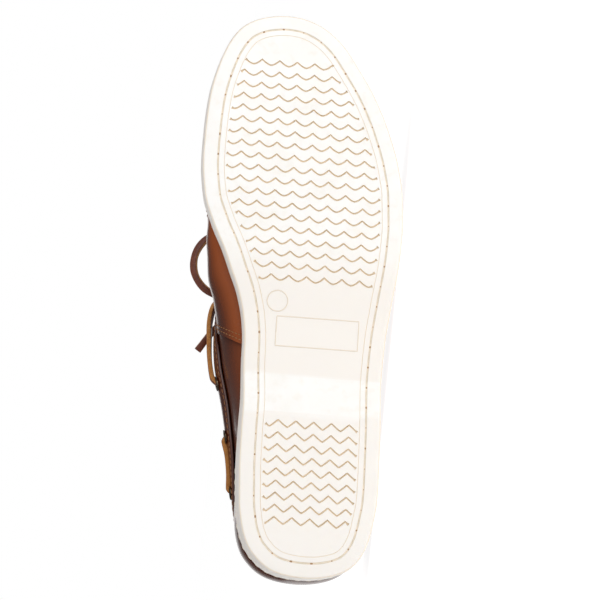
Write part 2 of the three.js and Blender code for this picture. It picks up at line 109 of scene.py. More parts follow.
last = {
    "wall": 2,
    "gap": 0.3,
    "crownHeel": 38,
    "crownToe": 258,
    "section": {
        "at": [0, 30, 60, 93, 119, 135, 150, 171, 190, 215, 240, 258, 292],
        "crown": [116, 117, 117, 116, 108, 97, 88, 78, 69, 59, 50.5, 44.5, 30],
        "square": [4.6, 4.6, 4.6, 4.2, 3.2, 2.5, 2.3, 2.3, 2.4, 2.5, 2.5, 2.4, 2.4],
        "medial": [-5, -4, -1.2, 5.9, 11.4, 13.6, 14, 8.4, 1.5, 0.5, 0.5, 0, 0],
        "lateral": [-5, -5, -3.5, -1, 1.5, 4.5, 7, 3.5, 1.5, 1, 0.5, 0, 0],
        "belly": [6, 4.2, 1.6, 0.4, 0, 0, 0.5, 1, 1, 1, 1, 1, 1],
    },
    "topLine": {
        "at": [-12, 4, 25, 50, 84, 116, 138, 154, 164, 178],
        "height": [84, 82.5, 77, 69.5, 66, 67, 72.5, 80, 92, 130],
    },
    "throat": {"start": 148, "straightTo": 176, "end": 190, "halfWidth": 15},
    "band": {"deep": 19, "end": 156},     # the collar band, below the top line
}
length = sole["length"]


def turn(at):  # 0 at the heel, pi at the toe
    return math.acos(min(max(1 - 2 * at / length, -1), 1))


def atTurn(angle):
    return length / 2 * (1 - math.cos(angle))


def smoothTable(table, column, place=float):
    x = [place(at) for at in table["at"]]
    y = table[column]
    slopes = [(y[i + 1] - y[i]) / (x[i + 1] - x[i]) for i in range(len(x) - 1)]
    inner = [0 if a * b <= 0 else 2 * a * b / (a + b) for a, b in zip(slopes, slopes[1:])]
    tangents = [slopes[0], *inner, slopes[-1]]

    @functools.lru_cache(maxsize=None)
    def value(at):
        here = min(max(place(at), x[0]), x[-1])
        i = min(max(bisect.bisect_left(x, here) - 1, 0), len(x) - 2)
        width = x[i + 1] - x[i]
        t = (here - x[i]) / width
        lead = t * (1 - t) ** 2 * width * tangents[i]
        trail = t * t * (t - 1) * width * tangents[i + 1]
        return y[i] + (y[i + 1] - y[i]) * t * t * (3 - 2 * t) + lead + trail

    return value


outlineOf = {1: smoothTable(sole["outline"], "medial", turn),
             -1: smoothTable(sole["outline"], "lateral", turn)}
soleTop = smoothTable(sole["heights"], "top")
soleGround = smoothTable(sole["heights"], "ground")
crownOf = smoothTable(last["section"], "crown")
squareOf = smoothTable(last["section"], "square")
swellOf = {1: smoothTable(last["section"], "medial"), -1: smoothTable(last["section"], "lateral")}
bellyOf = smoothTable(last["section"], "belly")
topLineAt = smoothTable(last["topLine"], "height")


@functools.lru_cache(maxsize=None)
def edgeAt(at, side):  # the edge of the sole and the way inwards from it
    def near(angle):
        past = angle < 0 or angle > math.pi
        other = -side if past else side
        place = atTurn(angle)
        return Vector((other * outlineOf[other](place), place))

    step = 0.02
    tangent = (near(turn(at) + step) - near(turn(at) - step)).normalized()
    edge = Vector((side * outlineOf[side](at), at))
    return edge, Vector((-tangent.y, tangent.x)) * side


def insetPoint(at, side, inset):
    edge, inwards = edgeAt(at, side)
    return edge + inwards * inset


@functools.lru_cache(maxsize=None)
def ridgeAt(at):
    y = min(max(at, last["crownHeel"]), last["crownToe"])
    return Vector(((outlineOf[1](y) - outlineOf[-1](y)) / 2, y))


def lastPoint(at, side, climb, grow=0.0):
    base = insetPoint(at, side, sole["feather"] + last["wall"] - grow)
    ridge = ridgeAt(at)
    power = 2 / squareOf(at)
    angle = math.pi / 2 * min(max(climb, 0), 1) ** (1 / power)
    risen = math.sin(angle) ** power
    lean = 1 - max(math.cos(angle), 0) ** power
    out = swellOf[side](at) * math.sin(math.pi * risen ** 0.8)
    out += bellyOf(at) * math.sin(math.pi * min(risen / 0.42, 1))
    inwards = ridge - base
    plan = base + inwards * (lean - out * (1 - lean) / inwards.length)
    floor = soleTop(at) + last["gap"]
    crown = crownOf(ridge.y) + grow
    return Vector((plan.x, plan.y, floor + (crown - floor) * risen))


def isOpen(p, lower=0):
    if p.z > topLineAt(p.y) - lower:
        return True
    throat = last["throat"]
    if p.y < throat["start"] or p.y > throat["end"]:
        return False
    past = max(p.y - throat["straightTo"], 0) / (throat["end"] - throat["straightTo"])
    return abs(p.x - ridgeAt(p.y).x) < throat["halfWidth"] * math.sqrt(1 - past * past)


def climbUntil(pointAt, test):
    low = 0.0
    for step in range(1, 26):
        if test(pointAt(step / 25)):
            break
        low = step / 25
    if low > 0.99:
        return 1.0
    high = low + 0.04
    for _ in range(16):
        middle = (low + high) / 2
        if test(pointAt(middle)):
            high = middle
        else:
            low = middle
    return low


def faceAt(at, side, climb, grow=last["wall"]):  # a point and the way out of the leather
    here = lastPoint(at, side, climb, grow)
    alongFoot = lastPoint(at + 1, side, climb, grow) - here
    upwards = lastPoint(at, side, climb + 0.01, grow) - here
    return here, alongFoot.cross(upwards).normalized() * side


def onUpper(at, side, height, off=0.0):
    climb = climbUntil(lambda c: lastPoint(at, side, c, last["wall"]), lambda p: p.z > height)
    here, out = faceAt(at, side, climb)
    return here + out * off, out


def newMaterial(name, look):
    material = bpy.data.materials.new(name)
    material.use_nodes = True
    tree = material.node_tree
    shader = tree.nodes["Principled BSDF"]
    for socket, value in look.get("set", {}).items():
        shader.inputs[socket].default_value = value
    coordinates = tree.nodes.new("ShaderNodeTexCoord")
    turned = tree.nodes.new("ShaderNodeMapping")
    turned.inputs["Rotation"].default_value = worldToShoe
    turned.inputs["Scale"].default_value = look.get("stretch", (1, 1, 1))
    tree.links.new(coordinates.outputs["Object"], turned.inputs["Vector"])

    def noise(scale, detail=4, rough=0.55):
        node = tree.nodes.new("ShaderNodeTexNoise")
        node.inputs["Scale"].default_value = scale
        node.inputs["Detail"].default_value = detail
        node.inputs["Roughness"].default_value = rough
        tree.links.new(turned.outputs["Vector"], node.inputs["Vector"])
        return node.outputs["Fac"]

    def spread(source, low, high, fromLow=0.3, fromHigh=0.7):
        node = tree.nodes.new("ShaderNodeMapRange")
        for key, value in zip(("From Min", "From Max", "To Min", "To Max"),
                              (fromLow, fromHigh, low, high)):
            node.inputs[key].default_value = value
        tree.links.new(source, node.inputs["Value"])
        return node.outputs["Result"]

    def blended(factor, a, b):
        node = tree.nodes.new("ShaderNodeMix")
        node.data_type = "RGBA"
        tree.links.new(factor, node.inputs["Factor"])
        for socket, value in ((node.inputs["A"], a), (node.inputs["B"], b)):
            if isinstance(value, tuple):
                socket.default_value = (*value, 1)
            else:
                tree.links.new(value, socket)
        return node.outputs["Result"]

    color = blended(spread(noise(look["mottle"]), 0, 1), look["color"], look["second"])
    if "speck" in look:
        share = look.get("speckShare", 0.6)
        specks = spread(noise(look["speckScale"], 2), 0, share, 0.55, 0.75)
        color = blended(specks, color, look["speck"])
    for attribute, tint in look.get("attributes", {}).items():
        node = tree.nodes.new("ShaderNodeAttribute")
        node.attribute_name = attribute
        color = blended(node.outputs["Fac"], color, tint)
        if attribute == look.get("dull"):  # where the leather is darkened, burnished or with painted shade, it loses its shine as well
            for gloss, dulled in (("Specular IOR Level", 0.04), ("Coat Weight", 0)):
                socket = shader.inputs[gloss]
                shine = spread(node.outputs["Fac"], socket.default_value, dulled, 0, 1)
                tree.links.new(shine, socket)
    tree.links.new(color, shader.inputs["Base Color"])
    low, high = look["roughness"]
    tree.links.new(spread(noise(look["mottle"] * 2.3), low, high), shader.inputs["Roughness"])

    height = noise(look["grain"], 3, 0.6)
    if look.get("pores"):
        cells = tree.nodes.new("ShaderNodeTexVoronoi")
        cells.inputs["Scale"].default_value = look["pores"]
        tree.links.new(turned.outputs["Vector"], cells.inputs["Vector"])
        both = tree.nodes.new("ShaderNodeMath")
        both.operation = "MULTIPLY_ADD"
        both.inputs[1].default_value = 0.6
        tree.links.new(cells.outputs["Distance"], both.inputs[0])
        tree.links.new(height, both.inputs[2])
        height = both.outputs["Value"]
    bump = tree.nodes.new("ShaderNodeBump")
    bump.inputs["Strength"].default_value = look["bump"]
    bump.inputs["Distance"].default_value = look.get("bumpDepth", 0.0003)
    tree.links.new(height, bump.inputs["Height"])
    tree.links.new(bump.outputs["Normal"], shader.inputs["Normal"])
    return material


looks = {
    "soleRubber": {
        "color": (0.90, 0.89, 0.87), "second": (0.87, 0.85, 0.815), "mottle": 55,
        "speck": (0.78, 0.71, 0.61), "speckScale": 190, "speckShare": 0.22,
        # painted shade: darker on the arch, the heel and the sides of the sole, and darker still
        # down in the grooves
        "attributes": {"paintedShade": (0.86, 0.82, 0.77), "paintedGrooveShade": (0.80, 0.68, 0.52)},
        "roughness": (0.48, 0.62), "grain": 1500, "bump": 0.12, "bumpDepth": 0.0002,
        "set": {"Subsurface Weight": 0.08, "Subsurface Scale": 0.002,
                "Subsurface Radius": (1, 0.8, 0.55)},
    },
    # raised ring and frame in the arch: the beige is painted shade along the moulded ridges
    "mouldingShade": {
        "color": (0.80, 0.71, 0.60), "second": (0.74, 0.65, 0.54), "mottle": 240,
        "roughness": (0.55, 0.7), "grain": 1500, "bump": 0.12,
    },
    # walls of the siping cuts: the tan is painted shade inside the narrow cuts
    "cutRubberShade": {
        "color": (0.86, 0.74, 0.57), "second": (0.77, 0.65, 0.48), "mottle": 240,
        "roughness": (0.6, 0.8), "grain": 2400, "bump": 0.2,
    },
    "upperLeather": {
        "color": (0.082, 0.016, 0.004), "second": (0.058, 0.011, 0.003), "mottle": 34,
        "speck": (0.035, 0.008, 0.004), "speckScale": 260, "speckShare": 0.35,
        # the warm tone is painted light, lighter low on the sides
        "attributes": {"warmLit": (0.31, 0.066, 0.008), "dark": (0.030, 0.007, 0.004)},
        # dark: burnished along the seams, painted shade against the sole, at the heel and under the
        # collar band
        "dull": "dark",
        "roughness": (0.15, 0.27), "grain": 620, "pores": 1500, "bump": 0.16, "bumpDepth": 0.0002,
        "set": {"Coat Weight": 0.35, "Coat Roughness": 0.12, "Specular IOR Level": 0.55},
    },
    "rawEdge": {
        "color": (0.075, 0.022, 0.010), "second": (0.045, 0.013, 0.007), "mottle": 300,
        "roughness": (0.5, 0.7), "grain": 1800, "bump": 0.4,
    },
    "liningLeather": {
        "color": (0.50, 0.325, 0.185), "second": (0.43, 0.265, 0.140), "mottle": 60,
        "speck": (0.36, 0.21, 0.11), "speckScale": 420,
        "roughness": (0.55, 0.75), "grain": 900, "pores": 1900, "bump": 0.22,
    },
    "laceFace": {
        "color": (0.165, 0.040, 0.017), "second": (0.110, 0.026, 0.012), "mottle": 150,
        "speck": (0.25, 0.08, 0.03), "speckScale": 700,
        "roughness": (0.36, 0.55), "grain": 1400, "pores": 2200, "bump": 0.35,
    },
    "laceEdge": {
        "color": (0.50, 0.215, 0.048), "second": (0.36, 0.135, 0.028), "mottle": 420,
        "speck": (0.62, 0.33, 0.11), "speckScale": 1500,
        "roughness": (0.75, 0.95), "grain": 2600, "bump": 0.8, "bumpDepth": 0.0003,
        "set": {"Sheen Weight": 0.25, "Sheen Roughness": 0.5},
    },
    "darkBrass": {
        "color": (0.20, 0.15, 0.10), "second": (0.11, 0.08, 0.055), "mottle": 500,
        "roughness": (0.24, 0.42), "grain": 3000, "bump": 0.1,
        "set": {"Metallic": 1.0},
    },
    "creamThread": {
        "color": (0.80, 0.74, 0.62), "second": (0.70, 0.62, 0.49), "mottle": 900,
        "roughness": (0.6, 0.8), "grain": 3600, "bump": 0.6,
    },
    "tanThread": {
        "color": (0.34, 0.155, 0.060), "second": (0.24, 0.10, 0.038), "mottle": 900,
        "roughness": (0.55, 0.75), "grain": 3600, "bump": 0.6,
    },
    # painted shade: dark discs where the needle holes are
    "needleHoleShade": {
        "color": (0.46, 0.28, 0.14), "second": (0.34, 0.20, 0.10), "mottle": 900,
        "roughness": (0.8, 0.95), "grain": 3000, "bump": 0.3,
    },
}
materials = {name: newMaterial(name, look) for name, look in looks.items()}
print("materials ready")


def addPiece(name, bm, finishes, stands=(), sharp=38):
    mesh = bpy.data.meshes.new(name)
    bm.to_mesh(mesh)
    bm.free()
    mesh.transform(shoeToWorld)
    for finish in finishes:
        mesh.materials.append(materials[finish])
    mesh.polygons.foreach_set("use_smooth", [True] * len(mesh.polygons))
    mesh.set_sharp_from_angle(angle=math.radians(sharp))
    piece = bpy.data.objects.new(name + "_finished" if stands else name, mesh)
    bpy.context.scene.collection.objects.link(piece)
    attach(piece, "root")
    if stands:
        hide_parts(*stands)
    return piece


def settled(piece):  # the mesh with its modifiers applied
    graph = bpy.context.evaluated_depsgraph_get()
    made = bpy.data.meshes.new_from_object(piece.evaluated_get(graph))
    piece.modifiers.clear()
    old = piece.data
    piece.data = made
    bpy.data.meshes.remove(old)
    made.name = piece.name


def loft(bm, rings, closed=True, capped=(False, False), bandFinish=None):
    order = bm.verts.layers.int.get("order") or bm.verts.layers.int.new("order")
    first = [bm.verts.new(p) for p in rings[0]]
    for number, vert in enumerate(first):
        vert[order] = number
    count = len(first)
    pairs = range(count if closed else count - 1)
    edges = [bm.edges.new((first[i], first[(i + 1) % count])) for i in pairs]
    ends = [first]
    for ring in rings[1:]:
        made = bmesh.ops.extrude_edge_only(bm, edges=edges)["geom"]
        verts = [item for item in made if isinstance(item, bmesh.types.BMVert)]
        edges = [item for item in made if isinstance(item, bmesh.types.BMEdge)
                 and item.verts[0] in set(verts) and item.verts[1] in set(verts)]
        for vert in verts:
            vert.co = ring[vert[order]]
        if bandFinish:
            for item in made:
                if isinstance(item, bmesh.types.BMFace):
                    low = min(v[order] for v in item.verts)
                    high = max(v[order] for v in item.verts)
                    item.material_index = bandFinish(high if high - low > 1 else low)
        ends.append(sorted(verts, key=lambda vert: vert[order]))
    for want, ring in zip(capped, (ends[0], ends[-1])):
        if want:
            bm.faces.new(ring)
    return ends


def lengthOf(path):
    return sum((b - a).length for a, b in zip(path, path[1:]))


def spaced(path, pitch, start=0.5):  # places every pitch along a path, and the way along it
    total = lengthOf(path)
    count = max(int(total / pitch), 1)
    step = total / count
    found, walked, target = [], 0.0, step * start
    for a, b in zip(path, path[1:]):
        piece = (b - a).length
        while piece > 0 and walked + piece >= target and len(found) < count:
            found.append((a.lerp(b, (target - walked) / piece), (b - a).normalized()))
            target += step
        walked += piece
    return found


def smoothPath(points, perSpan=6):
    points = [Vector(p) for p in points]
    ends = [points[0] * 2 - points[1], *points, points[-1] * 2 - points[-2]]
    path = []
    for a, b, c, d in zip(ends, ends[1:], ends[2:], ends[3:]):
        gaps = [max((q - p).length, 1e-6) ** 0.5 for p, q in ((a, b), (b, c), (c, d))]
        leave = ((b - a) / gaps[0] - (c - a) / (gaps[0] + gaps[1]) + (c - b) / gaps[1]) * gaps[1]
        reach = ((c - b) / gaps[1] - (d - b) / (gaps[1] + gaps[2]) + (d - c) / gaps[2]) * gaps[1]
        for i in range(perSpan):
            t = i / perSpan
            path.append(b * (2 * t ** 3 - 3 * t * t + 1) + c * (3 * t * t - 2 * t ** 3)
                        + leave * (t ** 3 - 2 * t * t + t) + reach * (t ** 3 - t * t))
    return [*path, points[-1]]


def tangentsOf(path):
    ahead = [*path[1:], path[-1]]
    behind = [path[0], *path[:-1]]
    return [(b - a).normalized() for a, b in zip(behind, ahead)]


def ellipsoid(bm, centre, lengthwise, out, sizes, finish=0, rings=5, round=8):
    across = lengthwise.cross(out).normalized()
    up = across.cross(lengthwise).normalized()
    turned = Matrix((across, lengthwise, up)).transposed().to_4x4()
    place = Matrix.Translation(centre) @ turned @ Matrix.Diagonal((*sizes, 1))
    made = bmesh.ops.create_uvsphere(bm, u_segments=round, v_segments=rings, radius=1, matrix=place)
    if finish:
        for face in {face for vert in made["verts"] for face in vert.link_faces}:
            face.material_index = finish


def stitchAlong(bm, path, outs, look):
    for place, ahead in spaced(path, look["pitch"]):
        nearest = min(range(len(path)), key=lambda i: (path[i] - place).length_squared)
        out = outs[nearest] if isinstance(outs, list) else outs
        sizes = (look["width"] / 2, look["length"] / 2, look["rise"])
        ellipsoid(bm, place + out * look.get("lift", 0), ahead, out, sizes)


def cutAcross(bm, places, tilted):  # extra edges over the two flat faces that end a loft
    for tag in (1, 2):
        for y in places:
            faces = [face for face in bm.faces if face.material_index == tag]
            edges = {edge for face in faces for edge in face.edges}
            verts = {vert for face in faces for vert in face.verts}
            bmesh.ops.bisect_plane(bm, geom=[*verts, *edges, *faces],
                                   plane_co=(0, y, 0), plane_no=tilted, dist=1e-4)
    for face in bm.faces:
        face.material_index = 0


def spun(bm, profile, steps, merge, closed=False):  # a profile turned round the upright axis
    verts = [bm.verts.new((r, 0, z)) for r, z in profile]
    after = verts[1:] + verts[:1] if closed else verts[1:]
    edges = [bm.edges.new((a, b)) for a, b in zip(verts, after)]
    bmesh.ops.spin(bm, geom=[*verts, *edges], cent=(0, 0, 0), axis=(0, 0, 1), dvec=(0, 0, 0),
                   angle=math.tau, steps=steps, use_merge=True, use_duplicate=False)
    bmesh.ops.remove_doubles(bm, verts=bm.verts, dist=merge)


def addWall(piece, thickness):  # leather outside, lining inside, cut edge on the rim
    wall = piece.modifiers.new("wall", "SOLIDIFY")
    wall.thickness = thickness
    wall.offset = -1
    wall.material_offset = 1
    wall.material_offset_rim = 2


outsoleLook = {
    "stations": 150,
    "tilt": 0.066,           # treads and ramp lie askew, medial end towards the toe
    "ramp": (83.5, 102.5),
    "channel": (7.3, 8.4, 0.35),     # from, to, deep
    "innerLine": (10.9, 11.3, 0.22),
    "sideLine": (4.4, 5.1, 0.35),    # below the top edge
    # a siping cut widens to a bulb at both ends
    "cut": {"half": 0.42, "foot": 0.26, "deep": 0.9, "bulb": 0.72, "bulbLength": 0.9, "step": 0.45},
    "forefoot": {"first": 264.5, "pitch": 6.217, "rows": 19, "wave": 9.1, "swing": 2.9,
                 "inset": 12.2, "peakAt": 16.3, "zigzag": 0.25},
    "heel": {"first": 77.7, "pitch": 6.16, "rows": 9, "wave": 9.07, "swing": 3.7,
             "inset": 12.3, "peakAt": -0.6, "zigzag": 0.8},
    "peakDrift": 0.043,
}


def ringPlaces(count):
    stations = [atTurn(math.pi * i / count) for i in range(count + 1)]
    return [(at, -1) for at in stations] + [(at, 1) for at in reversed(stations[1:-1])]


def groundAt(x, y):  # the ramp in front of the heel is flat and lies askew
    low, high = outsoleLook["ramp"]
    place = y - outsoleLook["tilt"] * x
    if low < place < high:
        return soleGround(high) * (place - low) / (high - low)
    return soleGround(place)


def ringAt(inset, z, places):
    return [Vector((*insetPoint(at, side, inset), z)) for at, side in places]


def soleBody():
    places = ringPlaces(outsoleLook["stations"])
    above = 100                     # rings over this height hang from the top of the sole
    chFrom, chTo, chDeep = outsoleLook["channel"]
    inFrom, inTo, inDeep = outsoleLook["innerLine"]
    sideFrom, sideTo, sideDeep = outsoleLook["sideLine"]
    rings = [
        (5.0, above), (1.5, above), (0.6, above - 0.25), (0.15, above - 0.8), (0, above - 1.6),
        (0, above - sideFrom), (sideDeep, above - sideFrom - 0.15),
        (sideDeep, above - sideTo + 0.15), (0, above - sideTo),
        (0, 1.7), (0.12, 0.9), (0.5, 0.3), (1.1, 0.05), (1.6, 0),
        (chFrom, 0), (chFrom + 0.15, chDeep), (chTo - 0.15, chDeep), (chTo, 0),
        (inFrom, 0), (inFrom + 0.1, inDeep), (inTo - 0.1, inDeep), (inTo, 0),
    ]
    bm = bmesh.new()
    ends = loft(bm, [ringAt(inset, z, places) for inset, z in rings])
    for ring, tag in ((ends[0], 1), (ends[-1], 2)):
        bm.faces.new(ring).material_index = tag
    low, high = outsoleLook["ramp"]
    tilted = (-outsoleLook["tilt"], 1, 0)
    for y in (low, high):
        everything = [*bm.verts, *bm.edges, *bm.faces]
        bmesh.ops.bisect_plane(bm, geom=everything, plane_co=(0, y, 0), plane_no=tilted, dist=1e-4)
    cutAcross(bm, range(4, length, 4), tilted)
    for vert in bm.verts:
        x, y, z = vert.co
        vert.co.z = soleTop(y) + z - above if z > above / 2 else groundAt(x, y) + z
    bmesh.ops.recalc_face_normals(bm, faces=bm.faces)
    return bm


def rowEnd(y, side, inset):  # where a tread row stops, short of the channel
    guess = y
    for _ in range(12):
        guess += y - insetPoint(guess, side, inset).y
        guess = min(max(guess, 0.0), length)
    return insetPoint(guess, side, inset).x


def addRow(bm, tread, middle):
    cut = outsoleLook["cut"]
    tilt = outsoleLook["tilt"]
    right = rowEnd(middle + tilt * 25, 1, tread["inset"])
    left = rowEnd(middle - tilt * 25, -1, tread["inset"])
    peak = tread["peakAt"] + outsoleLook["peakDrift"] * (tread["first"] - middle)
    count = int((right - left) / cut["step"])
    rings = []
    for i in range(count + 1):
        x = left + (right - left) * i / count
        phase = (x - peak) / tread["wave"]
        rounded = 1 - abs(math.sin(math.pi * phase)) ** 0.92
        straight = 2 * abs(phase - math.floor(phase) - 0.5)
        share = rounded + (straight - rounded) * tread["zigzag"]
        y = middle + tilt * x + tread["swing"] * (share - 0.5)
        fromEnd = min(x - left, right - x)
        swell = max(0, 1 - (fromEnd / cut["bulbLength"]) ** 2)
        half = cut["half"] + (cut["bulb"] - cut["half"]) * swell
        z = groundAt(x, y)
        rings.append((Vector((x, y, z)), half))
    along = tangentsOf([p for p, _ in rings])
    sections = []
    for (p, half), ahead in zip(rings, along):
        across = Vector((-ahead.y, ahead.x, 0)).normalized()
        foot = half * cut["foot"] / cut["half"]
        up = Vector((0, 0, 1))
        sections.append([p - across * half * 1.25 - up, p + across * half * 1.25 - up,
                         p + across * half, p + across * foot + up * cut["deep"],
                         p - across * foot + up * cut["deep"], p - across * half])
    loft(bm, sections, capped=(True, True))


def outsole():
    piece = addPiece("outsole", soleBody(), ["soleRubber"], ["outsole"], 28)
    bm = bmesh.new()
    for tread in (outsoleLook["forefoot"], outsoleLook["heel"]):
        for row in range(tread["rows"]):
            addRow(bm, tread, tread["first"] - row * tread["pitch"])
    bmesh.ops.recalc_face_normals(bm, faces=bm.faces)
    cutter = addPiece("cutter", bm, ["cutRubberShade"])
    cuts = piece.modifiers.new("siping", "BOOLEAN")
    cuts.operation = "DIFFERENCE"
    cuts.object = cutter
    cuts.solver = "EXACT"
    cuts.material_mode = "TRANSFER"
    settled(piece)
    piece.data.set_sharp_from_angle(angle=math.radians(28))
    bpy.data.objects.remove(cutter)
    tinted(piece)
    return piece


def tinted(piece):  # painted shade: the arch, the heel and the sides of the sole darker, and the grooves of the channel and the cuts darker still
    mesh = piece.data
    back = shoeToWorld.inverted()
    paintedShade, paintedGrooveShade = [], []
    low, high = outsoleLook["ramp"]
    for vert in mesh.vertices:
        p = back @ vert.co
        place = p.y - outsoleLook["tilt"] * p.x
        near = groundAt(p.x, p.y)
        tread = p.z < near + 1.2
        arch = min(max((172 - place) / 22, 0), 1) if place > high else 0.0
        heelPart = 0.75 if place <= low else 0.0
        # painted shade on the recessed arch, the heel and the sides
        paintedShade.append(max(arch, heelPart) if tread else 0.55)
        # painted shade in the grooves: darker from 0.2 to 0.8 mm below the tread
        paintedGrooveShade.append(0.8 if tread and 0.2 < p.z - near < 0.8 else 0.0)
    for name, values in (("paintedShade", paintedShade), ("paintedGrooveShade", paintedGrooveShade)):
        attribute = mesh.attributes.new(name, "FLOAT", "POINT")
        attribute.data.foreach_set("value", values)


outsolePiece = outsole()
print("outsole cut,", len(outsolePiece.data.polygons), "faces")


# stitches of the sole, in the channel, and dark discs between them, the painted shade of the needle
# holes
channelLook = {"inset": 7.8, "pitch": 10.5, "length": 7.6, "width": 0.6, "rise": 0.22,
               "lift": 0, "bed": 0.3, "hole": 0.42}


def channelStitches():
    places = ringPlaces(180)
    path = []
    for at, side in [*places, places[0]]:
        x, y = insetPoint(at, side, channelLook["inset"])
        path.append(Vector((x, y, groundAt(x, y) + channelLook["bed"])))
    down = Vector((0, 0, -1))
    thread = bmesh.new()
    stitchAlong(thread, path, down, channelLook)
    addPiece("channel_stitches", thread, ["creamThread"])
    holes = bmesh.new()
    for place, ahead in spaced(path, channelLook["pitch"], 1.0):
        size = channelLook["hole"] * random.uniform(0.5, 1.2)
        ellipsoid(holes, place, ahead, down, (size, size * random.uniform(1, 1.8), 0.22), 0, 4, 8)
    addPiece("channel_hole_shade", holes, ["needleHoleShade"])


channelStitches()

# blank ring and blank frame moulded in the arch
archMarks = {"ring": (17.7, 141.8), "ringRadius": 5.3, "frame": (-2.8, 125.3), "size": (42.3, 15.2),
             "cord": 0.3, "lift": 0.05}


def archMark():
    bm = bmesh.new()
    cx, cy = archMarks["ring"]
    circle = [Vector((cx + archMarks["ringRadius"] * math.cos(a),
                      cy + archMarks["ringRadius"] * math.sin(a)))
              for a in (math.tau * i / 48 for i in range(48))]
    mx, my = archMarks["frame"]
    halfX, halfY = archMarks["size"][0] / 2, archMarks["size"][1] / 2
    corners = [(-halfX, -halfY), (halfX, -halfY), (halfX, halfY), (-halfX, halfY)]
    box = []
    for (ax, ay), (bx, by) in zip(corners, corners[1:] + corners[:1]):
        for i in range(20):
            x = ax + (bx - ax) * i / 20
            y = ay + (by - ay) * i / 20
            box.append(Vector((mx + x - y * 0.06, my + y + x * 0.06)))
    for outline in (circle, box):
        sections = []
        count = len(outline)
        for i, p in enumerate(outline):
            ahead = (outline[(i + 1) % count] - outline[i - 1]).normalized()
            across = Vector((-ahead.y, ahead.x, 0))
            centre = Vector((p.x, p.y, groundAt(p.x, p.y) + archMarks["lift"]))
            sections.append([centre + across * archMarks["cord"] * math.cos(a)
                             + Vector((0, 0, archMarks["cord"] * math.sin(a)))
                             for a in (math.tau * k / 8 for k in range(8))])
        loft(bm, [*sections, sections[0]])
    bmesh.ops.remove_doubles(bm, verts=bm.verts, dist=1e-3)
    bmesh.ops.recalc_face_normals(bm, faces=bm.faces)
    addPiece("arch_marks", bm, ["mouldingShade"])


archMark()
print("sole details ready")


insoleLook = {"inset": 5.4, "lift": 0.5, "thick": 3}


def insole():
    places = ringPlaces(90)
    inset, thick = insoleLook["inset"], insoleLook["thick"]
    rings = [(inset + 6, 0), (inset + 0.5, 0), (inset, 0.5), (inset, thick - 0.7),
             (inset + 0.25, thick - 0.2), (inset + 0.9, thick), (inset + 4, thick - 0.3),
             (inset + 10, thick - 0.6)]
    bm = bmesh.new()
    ends = loft(bm, [ringAt(i, z, places) for i, z in rings])
    for ring, tag in ((ends[0], 1), (ends[-1], 2)):
        bm.faces.new(ring).material_index = tag
    cutAcross(bm, range(14, length - 8, 6), (0, 1, 0))
    for vert in bm.verts:
        vert.co.z += soleTop(vert.co.y) + insoleLook["lift"]
    bmesh.ops.recalc_face_normals(bm, faces=bm.faces)
    addPiece("insole", bm, ["liningLeather"], ["insole"])


insole()


upperLook = {
    "stations": 300,
    "sunk": 0.55,           # the plain leather lies a little inside the solid
    # round the heel it stands out, most of all low down, over the sole
    "heel": {"proud": 0.3, "overhang": 1.3, "below": 36, "fade": 20, "from": 12, "until": 50},
    "thick": 1.8,
    # flatter on the medial side of the vamp
    "tuck": {"deep": 1.2, "at": 194, "half": 26, "below": 0.8, "fade": 0.15},
    "lowRows": 24, "highRows": 13,
    "seamSteps": [-0.044, -0.031, -0.021, -0.012, -0.005, 0, 0.005, 0.012, 0.021, 0.032],
    "apron": {"climb": 0.70, "from": 197, "rise": 1.15, "half": 0.016, "pucker": 0.32,
              "puckerHalf": 0.055, "pitch": 6.4, "fade": 12, "before": 0.4, "above": 0.45,
              "stitch": {"below": 0.028, "above": 0.024, "radius": 0.62}},
    "saddle": {"rear": 120, "rearLean": 13, "front": 192, "frontLean": 5, "proud": 0.85,
               "thinner": 0.35, "fade": 26, "rows": (2.1, 4.6)},
    "heelSeam": {"above": 3.6, "deep": 0.5, "wide": 1.1, "until": 62},
    "creases": {"at": [208, 216, 224], "deep": [0.30, 0.42, 0.26], "wide": [3.2, 3.8, 3.0],
                "skew": [0.05, 0.02, -0.03], "from": 0.22, "fade": 0.2, "sway": 1.6, "swell": 0.45},
    # how dark the leather is made at each place, and how fast that fades from it: burnished along
    # the seams, painted shade low against the sole, at the heel and under the collar band
    "burnishAndShade": {"foot": (0.75, 2.2), "footFrom": 0.6, "heel": (0.85, 17), "heelUntil": 30,
                "rearSeam": (0.85, 1.6), "frontSeam": (0.7, 1.6), "apron": (0.55, 0.018),
                "band": (0.6, 1.8)},
    # painted light: the lighter, warmer tone low on the sides, and the leather's patchy own tone
    "warmLit": {"until": 200, "height": 3, "forward": (1.0, 10), "rear": (0.42, 9), "patchy": 0.08},
}


def bumpAt(value, half):
    share = min(abs(value) / half, 1)
    return (1 - share * share) ** 2


def lean(station):  # seams lean forward as they rise, and their neighbours with them
    saddle = upperLook["saddle"]
    reach = 9 if station < saddle["front"] else 44
    rear = saddle["rearLean"] * bumpAt(station - saddle["rear"], 34)
    front = saddle["frontLean"] * bumpAt(station - saddle["front"], reach)
    return rear, front


def leantAt(station, climb):
    rear, front = lean(station)
    low = min(climb / 0.5, 1)
    return station + rear * low * (2 - low) + front * climb ** 2


def warpedPoint(station, side, climb, grow=0.0):
    return lastPoint(leantAt(station, climb), side, climb, grow)


def upperStations():
    saddle, throat = upperLook["saddle"], last["throat"]
    even = [atTurn(math.pi * i / upperLook["stations"]) for i in range(upperLook["stations"] + 1)]
    seams = [saddle["rear"], saddle["front"]]
    kept = [at for at in even if all(abs(at - seam) > 0.7 for seam in seams)]
    extra = [throat["end"] - 0.4, throat["end"] - 1.6]
    return sorted([*kept, *extra, *(seam + step for seam in seams for step in (-0.12, 0.12))])


